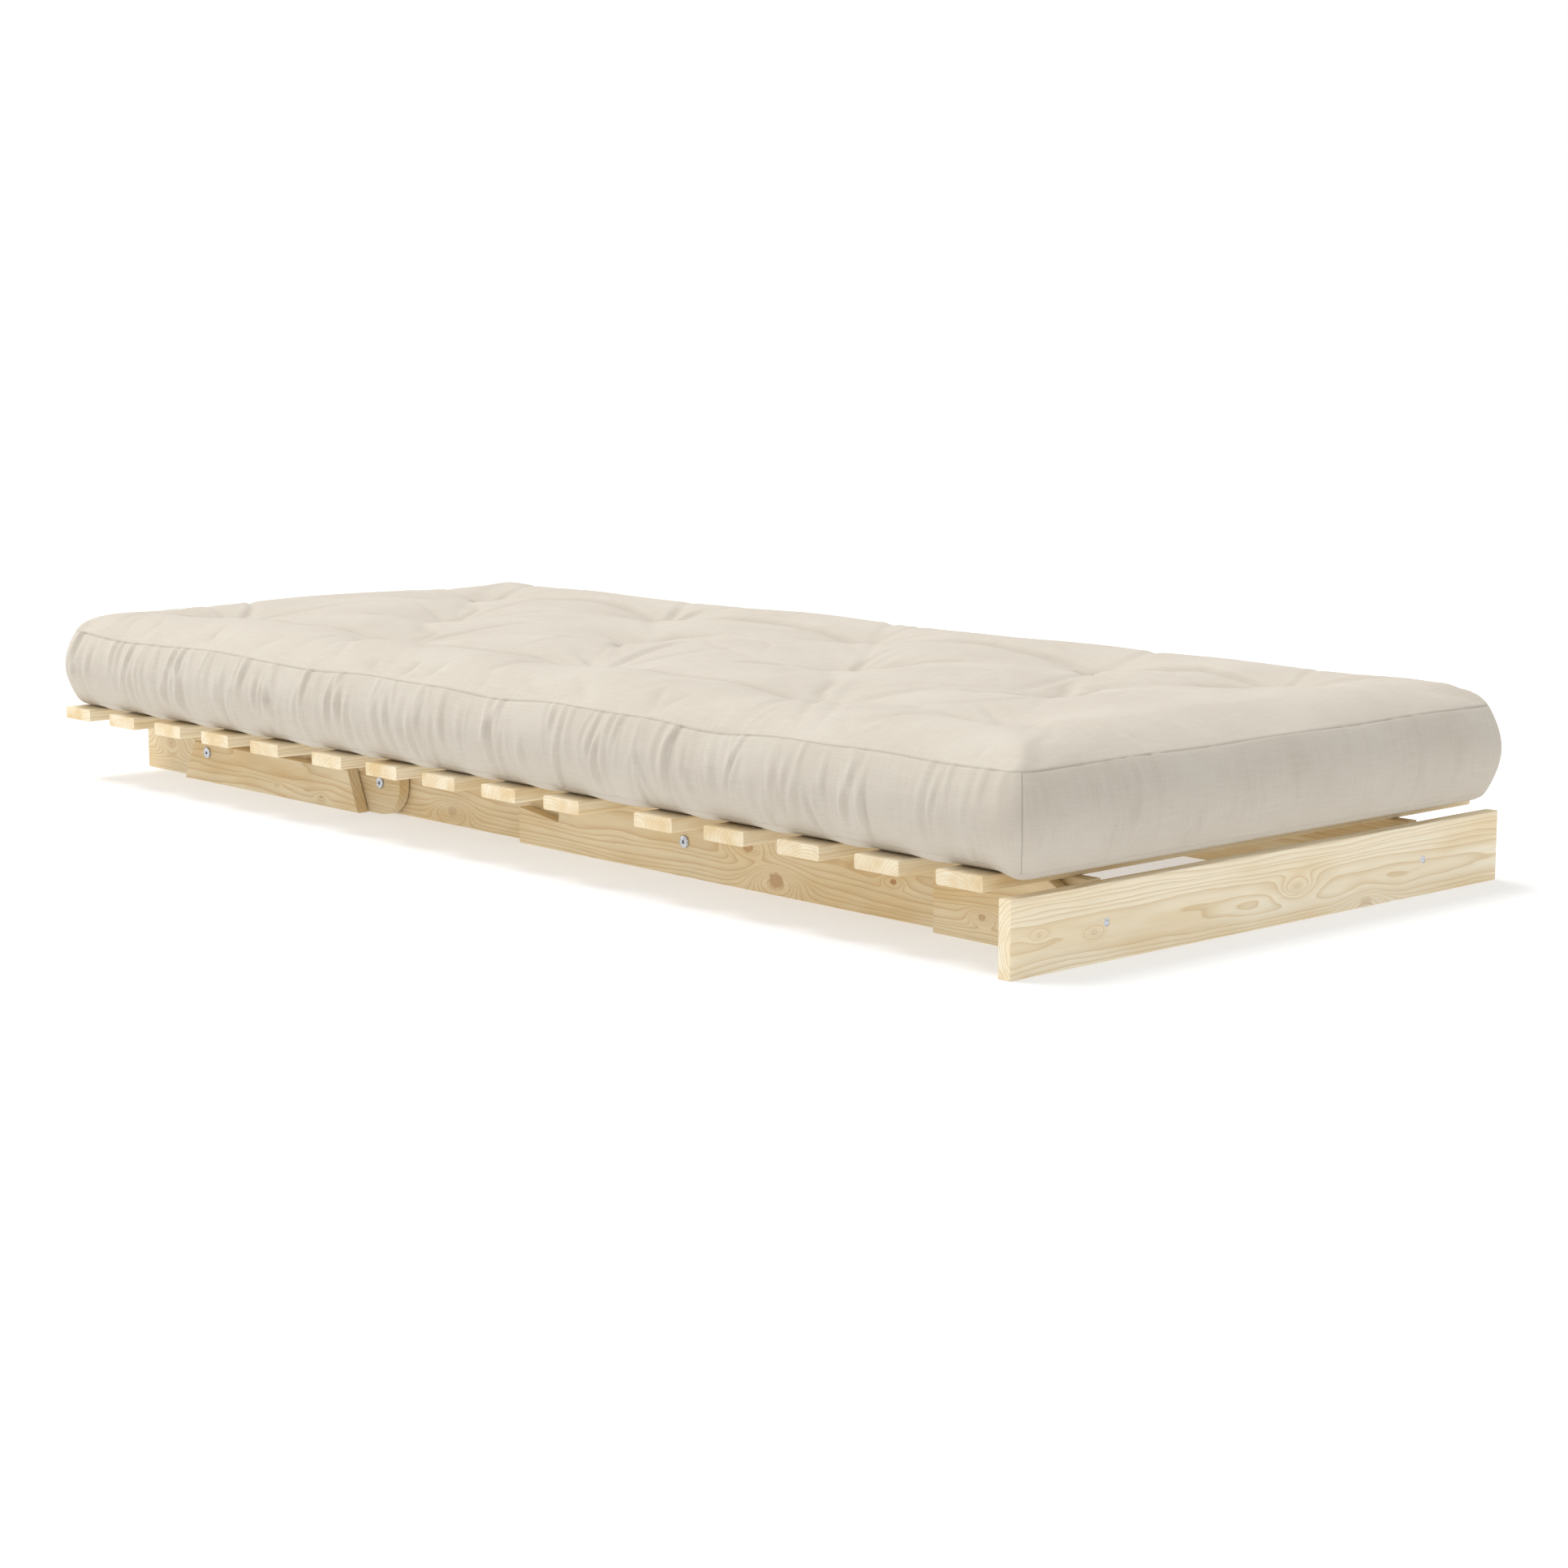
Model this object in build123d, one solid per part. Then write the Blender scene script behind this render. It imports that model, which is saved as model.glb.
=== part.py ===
"""Folding futon bed: a pine slatted frame in three hinged sections that carries one futon mattress.

Row frame, millimetres. The origin is on the floor under the middle of the bed as it lies flat.
+X is across the bed, +Y runs from the foot board to the head end, +Z is up.
The left side is -X. Distances called "from the front" start at the foot board's front face.
"""

from build123d import *
import math
import os

# ---- boards -------------------------------------------------------------------------------------
bed_width = 900.0            # length of a slat and of the cross board
board = 18.0                 # thickness of every planed board
layer_gap = 2.0              # space between two boards on one pivot, filled by a washer
outer_rail_inset = 147.0     # from a slat's end to the outer face of the seat and head rails
rail_height = 92.0           # seat, middle and head rails
cross_height = 90.0
edge_round = 1.5             # eased long edges of the boards

# ---- slats --------------------------------------------------------------------------------------
slat_width = 72.0
slat_thickness = 18.0
slat_round = 3.0
slats_per_section = 5
seat_first_slat = 42.5       # from the front to the first seat slat
seat_last_slat_back = 75.5   # from the last seat slat to the seat pivot
slat_swing_clearance = 1.5   # from the first middle slat to the seat rails, when the middle section is up
middle_last_slat_back = 45.0  # from the last middle slat to the head pivot
head_first_slat = 40.5       # from the head pivot to the first head slat
head_last_slat_back = 5.0    # from the last head slat to the head end

# ---- folding geometry ---------------------------------------------------------------------------
seat_pivot_from_front = 713.5
middle_span = 674.5          # from the seat pivot to the head pivot
seat_rail_end = 1062.0       # from the front to the back ends of the seat rails
rail_pivot_height = rail_height / 2
chair_tilt = 7.1             # lean of the seat as a chair, degrees
notch_run = 87.0             # from the notch's inner corner to the back end of the seat rail
notch_corner_height = 39.0   # of the notch's inner corner above the floor
notch_clearance = 1.1        # between the notch and a head rail's end
notch_corner_round = 2.5 * notch_clearance  # small enough for a square corner to clear it
rail_toe_round = 3.0         # the lower back corner of the seat rail

# ---- front legs ---------------------------------------------------------------------------------
front_leg_clearance = 2.0    # between the leg and the slats over it
front_leg_height = rail_height - front_leg_clearance  # width of the leg board
front_leg_pivot_from_front = 78.0
front_leg_pivot_height = front_leg_height / 2

# ---- prop legs ----------------------------------------------------------------------------------
prop_leg_height = 60.0       # width of the prop leg board
prop_pivot_edge = 14.0       # from the pivot up to the board's edge
prop_pivot_height = prop_leg_height - prop_pivot_edge
prop_pivot_from_head_pivot = 431.0
prop_foot_reach = 401.0      # from the pivot to the toe of the foot, along the board
prop_stub_reach = 67.0       # from the pivot to the other end, along the board
prop_lean = 22.6             # of the foot's cut, degrees from square
prop_stub_cut = 25.8         # of the other end's cut, degrees from square

# ---- pivot bolts --------------------------------------------------------------------------------
bolt_head_radius = 8.25
bolt_head_thickness = 2.5
bolt_shank_radius = 3.0
bolt_thread_clearance = 0.05
hex_socket_width = 5.0
hex_socket_depth = 1.6
sleeve_radius = 5.0
sleeve_clearance = 0.08      # running clearance of a board on its sleeve
sleeve_short = 1.0           # the sleeve stops this far short of the bolt's head
shank_short = 4.0            # the shank stops this far short of the nut's flange
flange_gap = 0.2             # between a flange and the board that turns under it
washer_radius = 11.0
washer_thickness = 1.6

# ---- wood screws --------------------------------------------------------------------------------
slat_screw_radius = 2.0
slat_screw_head_radius = 4.0
slat_screw_length = 40.0
slat_screw_sink = 0.4        # a screw's head lies this far under the face
cross_screw_radius = 2.5
cross_screw_head_radius = 5.0
cross_screw_length = 55.0
cross_screw_height = cross_height / 2
screw_hole_clearance = 0.05

# ---- futon --------------------------------------------------------------------------------------
futon_thickness = 145.0
futon_side_overhang = 4.0    # past the slats' ends
futon_front_overhang = 20.0  # past the cross board
futon_head_overhang = 17.6   # past the head rails
futon_lift = 0.5             # clear space between the slats and the cover
futon_corner_radius = 42.0
futon_edge_radius = 36.0
futon_cover_thickness = 2.0
futon_filling_clearance = 0.5
futon_section_gap = 1.0
tuft_row_inset = 204.0       # from the futon's side to an outer row of tufts
tuft_first = 190.0           # from the front to the first tuft of the two outer rows
tuft_first_pitch = 315.0     # from there to the second tuft
tuft_pitch = 450.0           # between the other tufts of an outer row
tuft_head_inset = 95.0       # the least from a tuft to the futon's head end
tie_radius = 1.5
tie_knot_radius = 6.0
tie_knot_thickness = 2.0
tie_hole_clearance = 0.3
tie_floor = 8.0              # from the futon's underside to a tie's lower knot
tie_top = 55.0               # from the futon's top to a tie's upper knot

# ---- places that follow -------------------------------------------------------------------------
slat_bottom = rail_height
slat_top = slat_bottom + slat_thickness
outer_layer_x = -bed_width / 2 + outer_rail_inset
leg_layer_x = outer_layer_x - layer_gap - board
inner_layer_x = outer_layer_x + board + layer_gap
head_pivot_from_front = seat_pivot_from_front + middle_span


def chair_pose():
    """Work out the head rail's length and the middle section's lift from the chair position.

    As a chair, the head rails stand at the tilt's angle with their square ends in the notches.
    The head rail's length closes the triangle of seat pivot, head pivot and notch.
    """
    tilt = math.radians(chair_tilt)
    across = (math.cos(tilt), math.sin(tilt))
    down = (math.sin(tilt), -math.cos(tilt))
    reach_across = notch_clearance + rail_height / 2
    end_y = seat_rail_end - notch_run + reach_across * across[0] - notch_clearance * down[0]
    end_z = notch_corner_height + reach_across * across[1] - notch_clearance * down[1]
    reach = (end_y - seat_pivot_from_front, end_z - rail_pivot_height)
    along = reach[0] * down[0] + reach[1] * down[1]
    off = reach[0] ** 2 + reach[1] ** 2 - along ** 2
    length = along + math.sqrt(middle_span ** 2 - off)
    lift = math.acos((reach[0] - length * down[0]) / middle_span)
    return length, math.degrees(lift)


head_rail_length, middle_lift = chair_pose()
head_fold = middle_lift + 90 - chair_tilt
bed_length = head_pivot_from_front + head_rail_length
futon_width = bed_width + 2 * futon_side_overhang
futon_length = futon_front_overhang + bed_length + futon_head_overhang
origin_from_front = futon_length / 2 - futon_front_overhang


def first_middle_slat():
    """How far behind the seat pivot the first middle slat starts, so that it clears the seat rails.

    The slat's rounded lower corner turns about the pivot by the middle section's lift and stops over the rails.
    """
    lift = math.radians(middle_lift)
    rise = slat_bottom - rail_pivot_height
    corner_height = rise + slat_round
    turned = corner_height + slat_swing_clearance - corner_height * math.cos(lift)
    return turned / math.sin(lift) - slat_round


def front_leg_swing_and_reach():
    """The swing that stands a front leg upright under the tilted seat, and its length from pivot to foot."""
    tilt = math.radians(chair_tilt)
    along = seat_rail_end - front_leg_pivot_from_front
    reach = along * math.sin(tilt) + front_leg_pivot_height * math.cos(tilt)
    return 90 - chair_tilt, reach


front_leg_swing, front_leg_reach = front_leg_swing_and_reach()


def lounger_pose():
    """The head section's lift and the prop legs' swing that set the feet's cut ends flat on the floor."""
    turn = math.radians(90 + prop_lean)
    drop = prop_foot_reach * math.sin(turn) + prop_pivot_height * math.cos(turn)
    rise = prop_pivot_height - rail_pivot_height
    arm = math.hypot(prop_pivot_from_head_pivot, rise)
    climb = math.asin((drop - rail_pivot_height) / arm)
    lift = math.degrees(climb - math.atan2(rise, prop_pivot_from_head_pivot))
    return lift, 90 + prop_lean - lift


head_lift, prop_swing = lounger_pose()


# ---- small helpers ------------------------------------------------------------------------------
def row_y(from_front):
    """Row-frame Y of a distance from the front."""
    return from_front - origin_from_front


def block(x0, x1, y0, y1, z0, z1):
    """A box between two corners, with its Y given from the front."""
    middle = ((x0 + x1) / 2, row_y((y0 + y1) / 2), (z0 + z1) / 2)
    return Pos(*middle) * Box(x1 - x0, y1 - y0, z1 - z0)


def side_board(outline, x0, thickness=board):
    """A board that stands on its edge: an outline of (from the front, height) points, thickened along +X."""
    points = [(row_y(y), z) for y, z in outline]
    sketch = Plane.YZ.offset(x0) * make_face(Polyline(*points, close=True))
    return extrude(sketch, thickness)


def disc_x(x0, x1, y, z, radius):
    """A cylinder along X between two X values."""
    turn = Rot(0, 90, 0)
    return Pos((x0 + x1) / 2, row_y(y), z) * turn * Cylinder(radius, x1 - x0)


def ease(part, radius, direction):
    """Round the long straight edges that run along one axis, with the arcs that go on from them."""
    return fillet(part.edges().filter_by(direction), radius)


def to_right(part):
    """The right-hand copy of a left-hand piece."""
    return mirror(part, about=Plane.YZ)


def group(pieces):
    """Several separate solids as one node."""
    solids = [s for piece in pieces for s in piece.solids()]
    return Compound(children=solids)


# ---- screws -------------------------------------------------------------------------------------
def screw_body(radius, head_radius, length, grow=0.0):
    """A countersunk wood screw along -Z with the flat of its head at the origin."""
    head_depth = head_radius - radius
    shank = Pos(0, 0, -length / 2) * Cylinder(radius + grow, length)
    head = Pos(0, 0, -head_depth / 2) * Cone(radius + grow, head_radius + grow, head_depth)
    return shank + head


def slat_screw(x, y, grow=0.0):
    """One screw through a slat into the rail under it. With grow it is the hole, open at the slat's face."""
    top = slat_top - slat_screw_sink
    place = Pos(x, row_y(y), top)
    body = place * screw_body(slat_screw_radius, slat_screw_head_radius, slat_screw_length, grow)
    if grow:
        mouth = slat_screw_sink + 1.0
        body += place * Pos(0, 0, mouth / 2) * Cylinder(slat_screw_head_radius + grow, mouth)
    return body


def cross_screw(x, grow=0.0):
    """One screw through the cross board into a seat rail's end grain."""
    turn = Rot(90, 0, 0)
    place = Pos(x, row_y(slat_screw_sink), cross_screw_height) * turn
    body = place * screw_body(cross_screw_radius, cross_screw_head_radius, cross_screw_length, grow)
    if grow:
        mouth = slat_screw_sink + 1.0
        body += place * Pos(0, 0, mouth / 2) * Cylinder(cross_screw_head_radius + grow, mouth)
    return body


# ---- slats --------------------------------------------------------------------------------------
def slat_starts(first, last_end):
    """The front edges of a section's evenly spaced slats, from the front."""
    pitch = (last_end - slat_width - first) / (slats_per_section - 1)
    return [first + n * pitch for n in range(slats_per_section)]


sections = {
    "seat": {
        "slats": slat_starts(seat_first_slat, seat_pivot_from_front - seat_last_slat_back),
        "rail_x": outer_layer_x,
    },
    "middle": {
        "slats": slat_starts(
            seat_pivot_from_front + first_middle_slat(),
            head_pivot_from_front - middle_last_slat_back,
        ),
        "rail_x": inner_layer_x,
    },
    "head": {
        "slats": slat_starts(
            head_pivot_from_front + head_first_slat,
            bed_length - head_last_slat_back,
        ),
        "rail_x": outer_layer_x,
    },
}


def screw_places(section):
    """Where a section's slat screws go: one over the middle of each rail's thickness, on each slat."""
    x = sections[section]["rail_x"] + board / 2
    return [(side * x, y + slat_width / 2) for y in sections[section]["slats"] for side in (1, -1)]


def slat(section, start):
    """One slat with rounded long edges and two countersunk screw holes."""
    body = block(-bed_width / 2, bed_width / 2, start, start + slat_width, slat_bottom, slat_top)
    body = ease(body, slat_round, Axis.X)
    for x, y in screw_places(section):
        if start < y < start + slat_width:
            body -= slat_screw(x, y, screw_hole_clearance)
    return body


def slat_screws(section):
    """All the slat screws of one section."""
    return group([slat_screw(x, y) for x, y in screw_places(section)])


def drill_for_slats(rail, section):
    """Cut a left rail's screw holes."""
    for x, y in screw_places(section):
        if x < 0:
            rail -= slat_screw(x, y, screw_hole_clearance)
    return rail


# ---- pivots -------------------------------------------------------------------------------------
def pivot_hole(x0, y, z):
    """The hole that a left board in the layer at x0 has for its sleeve."""
    return disc_x(x0 - 1, x0 + board + 1, y, z, sleeve_radius + sleeve_clearance)


def hex_socket(x_face, inward, y, z):
    """A hexagonal socket cut into a flange from its face; inward is the X direction into the metal."""
    across_corners = hex_socket_width / math.sqrt(3)
    face = Plane.YZ.offset(x_face) * Pos(row_y(y), z) * RegularPolygon(across_corners, 6)
    return extrude(face, inward * hex_socket_depth)


def pivot_bolt(x_outer, y, z, gap):
    """The left bolt of a pivot: a flat head with a hex socket, and a shank that screws into the sleeve."""
    head_back = x_outer - gap
    head_face = head_back - bolt_head_thickness
    stack = 2 * board + layer_gap
    head = disc_x(head_face, head_back, y, z, bolt_head_radius)
    head = chamfer(head.edges().sort_by(Axis.X)[0], 0.5)
    head -= hex_socket(head_face, 1, y, z)
    return head + disc_x(head_back, x_outer + stack - shank_short, y, z, bolt_shank_radius)


def sleeve_nut(x_outer, y, z, gap):
    """The left sleeve nut of a pivot: the turning boards ride on its sleeve."""
    x_inner = x_outer + 2 * board + layer_gap
    flange_back = x_inner + gap
    flange_face = flange_back + bolt_head_thickness
    flange = disc_x(flange_back, flange_face, y, z, bolt_head_radius)
    flange = chamfer(flange.edges().sort_by(Axis.X)[-1], 0.5)
    flange -= hex_socket(flange_face, -1, y, z)
    sleeve = disc_x(x_outer + sleeve_short, flange_back, y, z, sleeve_radius)
    bore_radius = bolt_shank_radius + bolt_thread_clearance
    bore = disc_x(x_outer, flange_back - 1, y, z, bore_radius)
    return flange + (sleeve - bore)


def pivot_washer(x_outer, y, z):
    """The left spacer washer between the two boards of a pivot."""
    middle = x_outer + board + layer_gap / 2
    x0 = middle - washer_thickness / 2
    x1 = middle + washer_thickness / 2
    hole = disc_x(x0, x1, y, z, sleeve_radius + sleeve_clearance)
    return disc_x(x0, x1, y, z, washer_radius) - hole


pivots = {
    "seat_pivot": {
        "x": outer_layer_x, "y": seat_pivot_from_front, "z": rail_pivot_height,
        "head_gap": 0.0, "nut_gap": flange_gap,
    },
    "head_pivot": {
        "x": outer_layer_x, "y": head_pivot_from_front, "z": rail_pivot_height,
        "head_gap": 0.0, "nut_gap": flange_gap,
    },
    "prop_pivot": {
        "x": leg_layer_x, "y": head_pivot_from_front + prop_pivot_from_head_pivot, "z": prop_pivot_height,
        "head_gap": flange_gap, "nut_gap": 0.0,
    },
    "front_leg_pivot": {
        "x": leg_layer_x, "y": front_leg_pivot_from_front, "z": front_leg_pivot_height,
        "head_gap": flange_gap, "nut_gap": 0.0,
    },
}


def hole_at(name, layer_x):
    """A named pivot's hole through the board in one layer."""
    pivot = pivots[name]
    return pivot_hole(layer_x, pivot["y"], pivot["z"])


# ---- rails and legs -----------------------------------------------------------------------------
def round_end(x0, y, z, radius):
    """The round end of a board about its pivot."""
    return disc_x(x0, x0 + board, y, z, radius)


def seat_rail():
    """Left seat rail: square at the front, with a leaning notch at its back end for the head rail's end."""
    slope = math.tan(math.radians(chair_tilt))
    corner_y = seat_rail_end - notch_run
    shoulder_top = corner_y - (rail_height - notch_corner_height) * slope
    lip_height = notch_corner_height + notch_run * slope
    outline = [
        (board, 0),
        (seat_rail_end, 0),
        (seat_rail_end, lip_height),
        (corner_y, notch_corner_height),
        (shoulder_top, rail_height),
        (board, rail_height),
    ]
    rail = side_board(outline, outer_layer_x)
    across = rail.edges().filter_by(Axis.X)
    corner = across.sort_by_distance(Vertex(outer_layer_x, row_y(corner_y), notch_corner_height))[0]
    rail = fillet(corner, notch_corner_round)
    across = rail.edges().filter_by(Axis.X)
    toe = across.sort_by_distance(Vertex(outer_layer_x, row_y(seat_rail_end), 0))[0]
    rail = fillet(toe, rail_toe_round)
    rail = ease(rail, edge_round, Axis.Y)
    rail -= hole_at("seat_pivot", outer_layer_x)
    rail -= hole_at("front_leg_pivot", outer_layer_x)
    rail -= cross_screw(outer_layer_x + board / 2, screw_hole_clearance)
    return drill_for_slats(rail, "seat")


def middle_rail():
    """Left middle rail: round at both ends, about the seat pivot and the head pivot."""
    radius = rail_height / 2
    x1 = inner_layer_x + board
    rail = block(inner_layer_x, x1, seat_pivot_from_front, head_pivot_from_front, 0, rail_height)
    rail += round_end(inner_layer_x, seat_pivot_from_front, rail_pivot_height, radius)
    rail += round_end(inner_layer_x, head_pivot_from_front, rail_pivot_height, radius)
    rail = ease(rail, edge_round, Axis.Y)
    rail -= hole_at("seat_pivot", inner_layer_x)
    rail -= hole_at("head_pivot", inner_layer_x)
    return drill_for_slats(rail, "middle")


def head_rail():
    """Left head rail: round about the head pivot, square at the head end."""
    radius = rail_height / 2
    rail = block(outer_layer_x, outer_layer_x + board, head_pivot_from_front, bed_length, 0, rail_height)
    rail += round_end(outer_layer_x, head_pivot_from_front, rail_pivot_height, radius)
    rail = ease(rail, edge_round, Axis.Y)
    rail -= hole_at("head_pivot", outer_layer_x)
    rail -= hole_at("prop_pivot", outer_layer_x)
    return drill_for_slats(rail, "head")


def front_leg():
    """Left front leg: round about its pivot, square at its foot."""
    foot = front_leg_pivot_from_front + front_leg_reach
    leg = block(leg_layer_x, leg_layer_x + board, front_leg_pivot_from_front, foot, 0, front_leg_height)
    leg += round_end(leg_layer_x, front_leg_pivot_from_front, front_leg_pivot_height, front_leg_height / 2)
    leg = ease(leg, edge_round, Axis.Y)
    return leg - hole_at("front_leg_pivot", leg_layer_x)


def prop_leg():
    """Left prop leg: its foot is cut so that it stands flat, its other end clears the slat above."""
    pivot = pivots["prop_pivot"]["y"]
    toe = pivot - prop_foot_reach
    heel = toe + prop_leg_height * math.tan(math.radians(prop_lean))
    stub = pivot + prop_stub_reach
    stub_top = stub - prop_leg_height * math.tan(math.radians(prop_stub_cut))
    outline = [(toe, 0), (stub, 0), (stub_top, prop_leg_height), (heel, prop_leg_height)]
    leg = side_board(outline, leg_layer_x)
    leg = ease(leg, edge_round, Axis.Y)
    return leg - hole_at("prop_pivot", leg_layer_x)


def cross_board():
    """The board across the front of the seat section."""
    body = block(-bed_width / 2, bed_width / 2, 0, board, 0, cross_height)
    body = ease(body, edge_round, Axis.X)
    for side in (1, -1):
        body -= cross_screw(side * (outer_layer_x + board / 2), screw_hole_clearance)
    return body


# ---- futon --------------------------------------------------------------------------------------
futon_bottom = slat_top + futon_lift
futon_bounds = {
    "seat": (-futon_front_overhang - 1, seat_pivot_from_front - futon_section_gap / 2),
    "middle": (
        seat_pivot_from_front + futon_section_gap / 2,
        head_pivot_from_front - futon_section_gap / 2,
    ),
    "head": (head_pivot_from_front + futon_section_gap / 2, futon_length - futon_front_overhang + 1),
}


def futon_block(inset):
    """The whole futon's rounded shape, drawn in by an inset on every side."""
    body = Box(futon_width - 2 * inset, futon_length - 2 * inset, futon_thickness - 2 * inset)
    body = fillet(body.edges().filter_by(Axis.Z), futon_corner_radius - inset)
    top = body.faces().sort_by(Axis.Z)[-1].edges()
    bottom = body.faces().sort_by(Axis.Z)[0].edges()
    body = fillet(list(top) + list(bottom), futon_edge_radius - inset)
    return Pos(0, 0, futon_bottom + futon_thickness / 2) * body


def futon_slab(section, trim=0.0):
    """The slice of space that one section of the futon takes."""
    y0, y1 = futon_bounds[section]
    half = futon_width
    return block(-half, half, y0 + trim, y1 - trim, 0, futon_bottom + futon_thickness + 1)


def futon_cover(section):
    """One section of the cotton cover: a thin shell, open where the next section goes on."""
    shell = futon_block(0) - futon_block(futon_cover_thickness)
    return shell & futon_slab(section)


def tuft_rows():
    """Each row of tufts as its X and the distances of its tufts from the front.

    The middle row's tufts lie halfway between those of the two outer rows.
    """
    last = futon_length - futon_front_overhang - tuft_head_inset
    outer = [tuft_first, tuft_first + tuft_first_pitch]
    while outer[-1] + tuft_pitch < last:
        outer.append(outer[-1] + tuft_pitch)
    middle = [(a + b) / 2 for a, b in zip(outer, outer[1:])]
    outer_x = futon_width / 2 - tuft_row_inset
    return [(-outer_x, outer), (0, middle), (outer_x, outer)]


def tie_places(section):
    """The places of one section's ties, one under each tuft."""
    y0, y1 = futon_bounds[section]
    return [(x, y) for x, row in tuft_rows() for y in row if y0 < y < y1]


def tie(x, y, grow=0.0):
    """A thread with a knot at each end, which holds the filling together. With grow it is its channel."""
    low = futon_bottom + tie_floor
    high = futon_bottom + futon_thickness - tie_top
    thread = Pos(x, row_y(y), (low + high) / 2) * Cylinder(tie_radius + grow, high - low)
    knot = Cylinder(tie_knot_radius + grow, tie_knot_thickness + 2 * grow)
    return thread + Pos(x, row_y(y), low) * knot + Pos(x, row_y(y), high) * knot


def futon_filling(section):
    """One section of the cotton and foam filling, with a channel for each tie."""
    inset = futon_cover_thickness + futon_filling_clearance
    body = futon_block(inset) & futon_slab(section, futon_filling_clearance)
    for x, y in tie_places(section):
        body -= tie(x, y, tie_hole_clearance)
    return body


# ---- writing the nodes --------------------------------------------------------------------------
def all_nodes():
    """Every node of the bed by name."""
    nodes = {"cross_board": cross_board()}
    rail_middle = outer_layer_x + board / 2
    nodes["cross_board_screws"] = group([cross_screw(side * rail_middle) for side in (1, -1)])
    makers = {
        "seat_rail": seat_rail,
        "middle_rail": middle_rail,
        "head_rail": head_rail,
        "front_leg": front_leg,
        "prop_leg": prop_leg,
    }
    for name, maker in makers.items():
        left = maker()
        nodes[f"{name}_left"] = left
        nodes[f"{name}_right"] = to_right(left)
    for section, about in sections.items():
        for n, start in enumerate(about["slats"]):
            nodes[f"{section}_slat_{n + 1}"] = slat(section, start)
        nodes[f"{section}_slat_screws"] = slat_screws(section)
    for name, p in pivots.items():
        bolt = pivot_bolt(p["x"], p["y"], p["z"], p["head_gap"])
        nut = sleeve_nut(p["x"], p["y"], p["z"], p["nut_gap"])
        washer = pivot_washer(p["x"], p["y"], p["z"])
        nodes[f"{name}_bolt_left"] = bolt
        nodes[f"{name}_bolt_right"] = to_right(bolt)
        nodes[f"{name}_nuts"] = group([nut, to_right(nut)])
        nodes[f"{name}_washers"] = group([washer, to_right(washer)])
    for section in sections:
        nodes[f"futon_cover_{section}"] = futon_cover(section)
        nodes[f"futon_filling_{section}"] = futon_filling(section)
        nodes[f"futon_ties_{section}"] = group([tie(x, y) for x, y in tie_places(section)])
    return nodes


os.makedirs("parts", exist_ok=True)
for node_name, node in all_nodes().items():
    export_step(node, f"parts/{node_name}.step")

print(f"bed length {bed_length:.1f}, head rail {head_rail_length:.1f}")
print(f"middle lift {middle_lift:.2f}, head fold {head_fold:.2f}, front leg swing {front_leg_swing:.2f}")
print(f"head lift {head_lift:.2f}, prop swing {prop_swing:.2f}, front leg reach {front_leg_reach:.1f}")
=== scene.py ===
"""The looks of a folding futon bed: pine boards, steel fittings and one tufted cotton futon.

Metres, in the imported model's frame: the origin is on the floor under the middle of the bed, +X is
across it, +Y runs from the foot board to the head end and +Z is up. The left side is -X.
"""

import logging
import math
from dataclasses import dataclass, field
from enum import Enum

import bpy
import numpy as np
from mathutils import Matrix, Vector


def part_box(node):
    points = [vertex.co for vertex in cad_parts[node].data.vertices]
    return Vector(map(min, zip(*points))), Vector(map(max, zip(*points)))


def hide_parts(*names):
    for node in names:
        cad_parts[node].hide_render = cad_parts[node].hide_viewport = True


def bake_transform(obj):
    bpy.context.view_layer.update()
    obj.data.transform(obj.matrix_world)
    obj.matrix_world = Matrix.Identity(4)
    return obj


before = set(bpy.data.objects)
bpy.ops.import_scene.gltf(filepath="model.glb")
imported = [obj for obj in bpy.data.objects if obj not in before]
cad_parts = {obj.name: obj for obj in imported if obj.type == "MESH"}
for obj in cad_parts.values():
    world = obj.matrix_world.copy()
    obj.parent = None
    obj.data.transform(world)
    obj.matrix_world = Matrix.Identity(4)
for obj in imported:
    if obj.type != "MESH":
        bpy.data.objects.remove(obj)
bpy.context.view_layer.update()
log = logging.getLogger("futon_bed")

Colour = tuple[float, float, float, float]
Place = tuple[float, float, float]


def srgb(red: int, green: int, blue: int) -> Colour:
    """Turn a display colour into the linear colour that shaders take.

    Args:
        red: Red, 0 to 255.
        green: Green, 0 to 255.
        blue: Blue, 0 to 255.

    Returns:
        Linear red, green, blue and a full alpha.
    """
    shares = [value / 255 for value in (red, green, blue)]
    linear = [s / 12.92 if s <= 0.04045 else ((s + 0.055) / 1.055) ** 2.4 for s in shares]
    return (*linear, 1.0)


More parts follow.
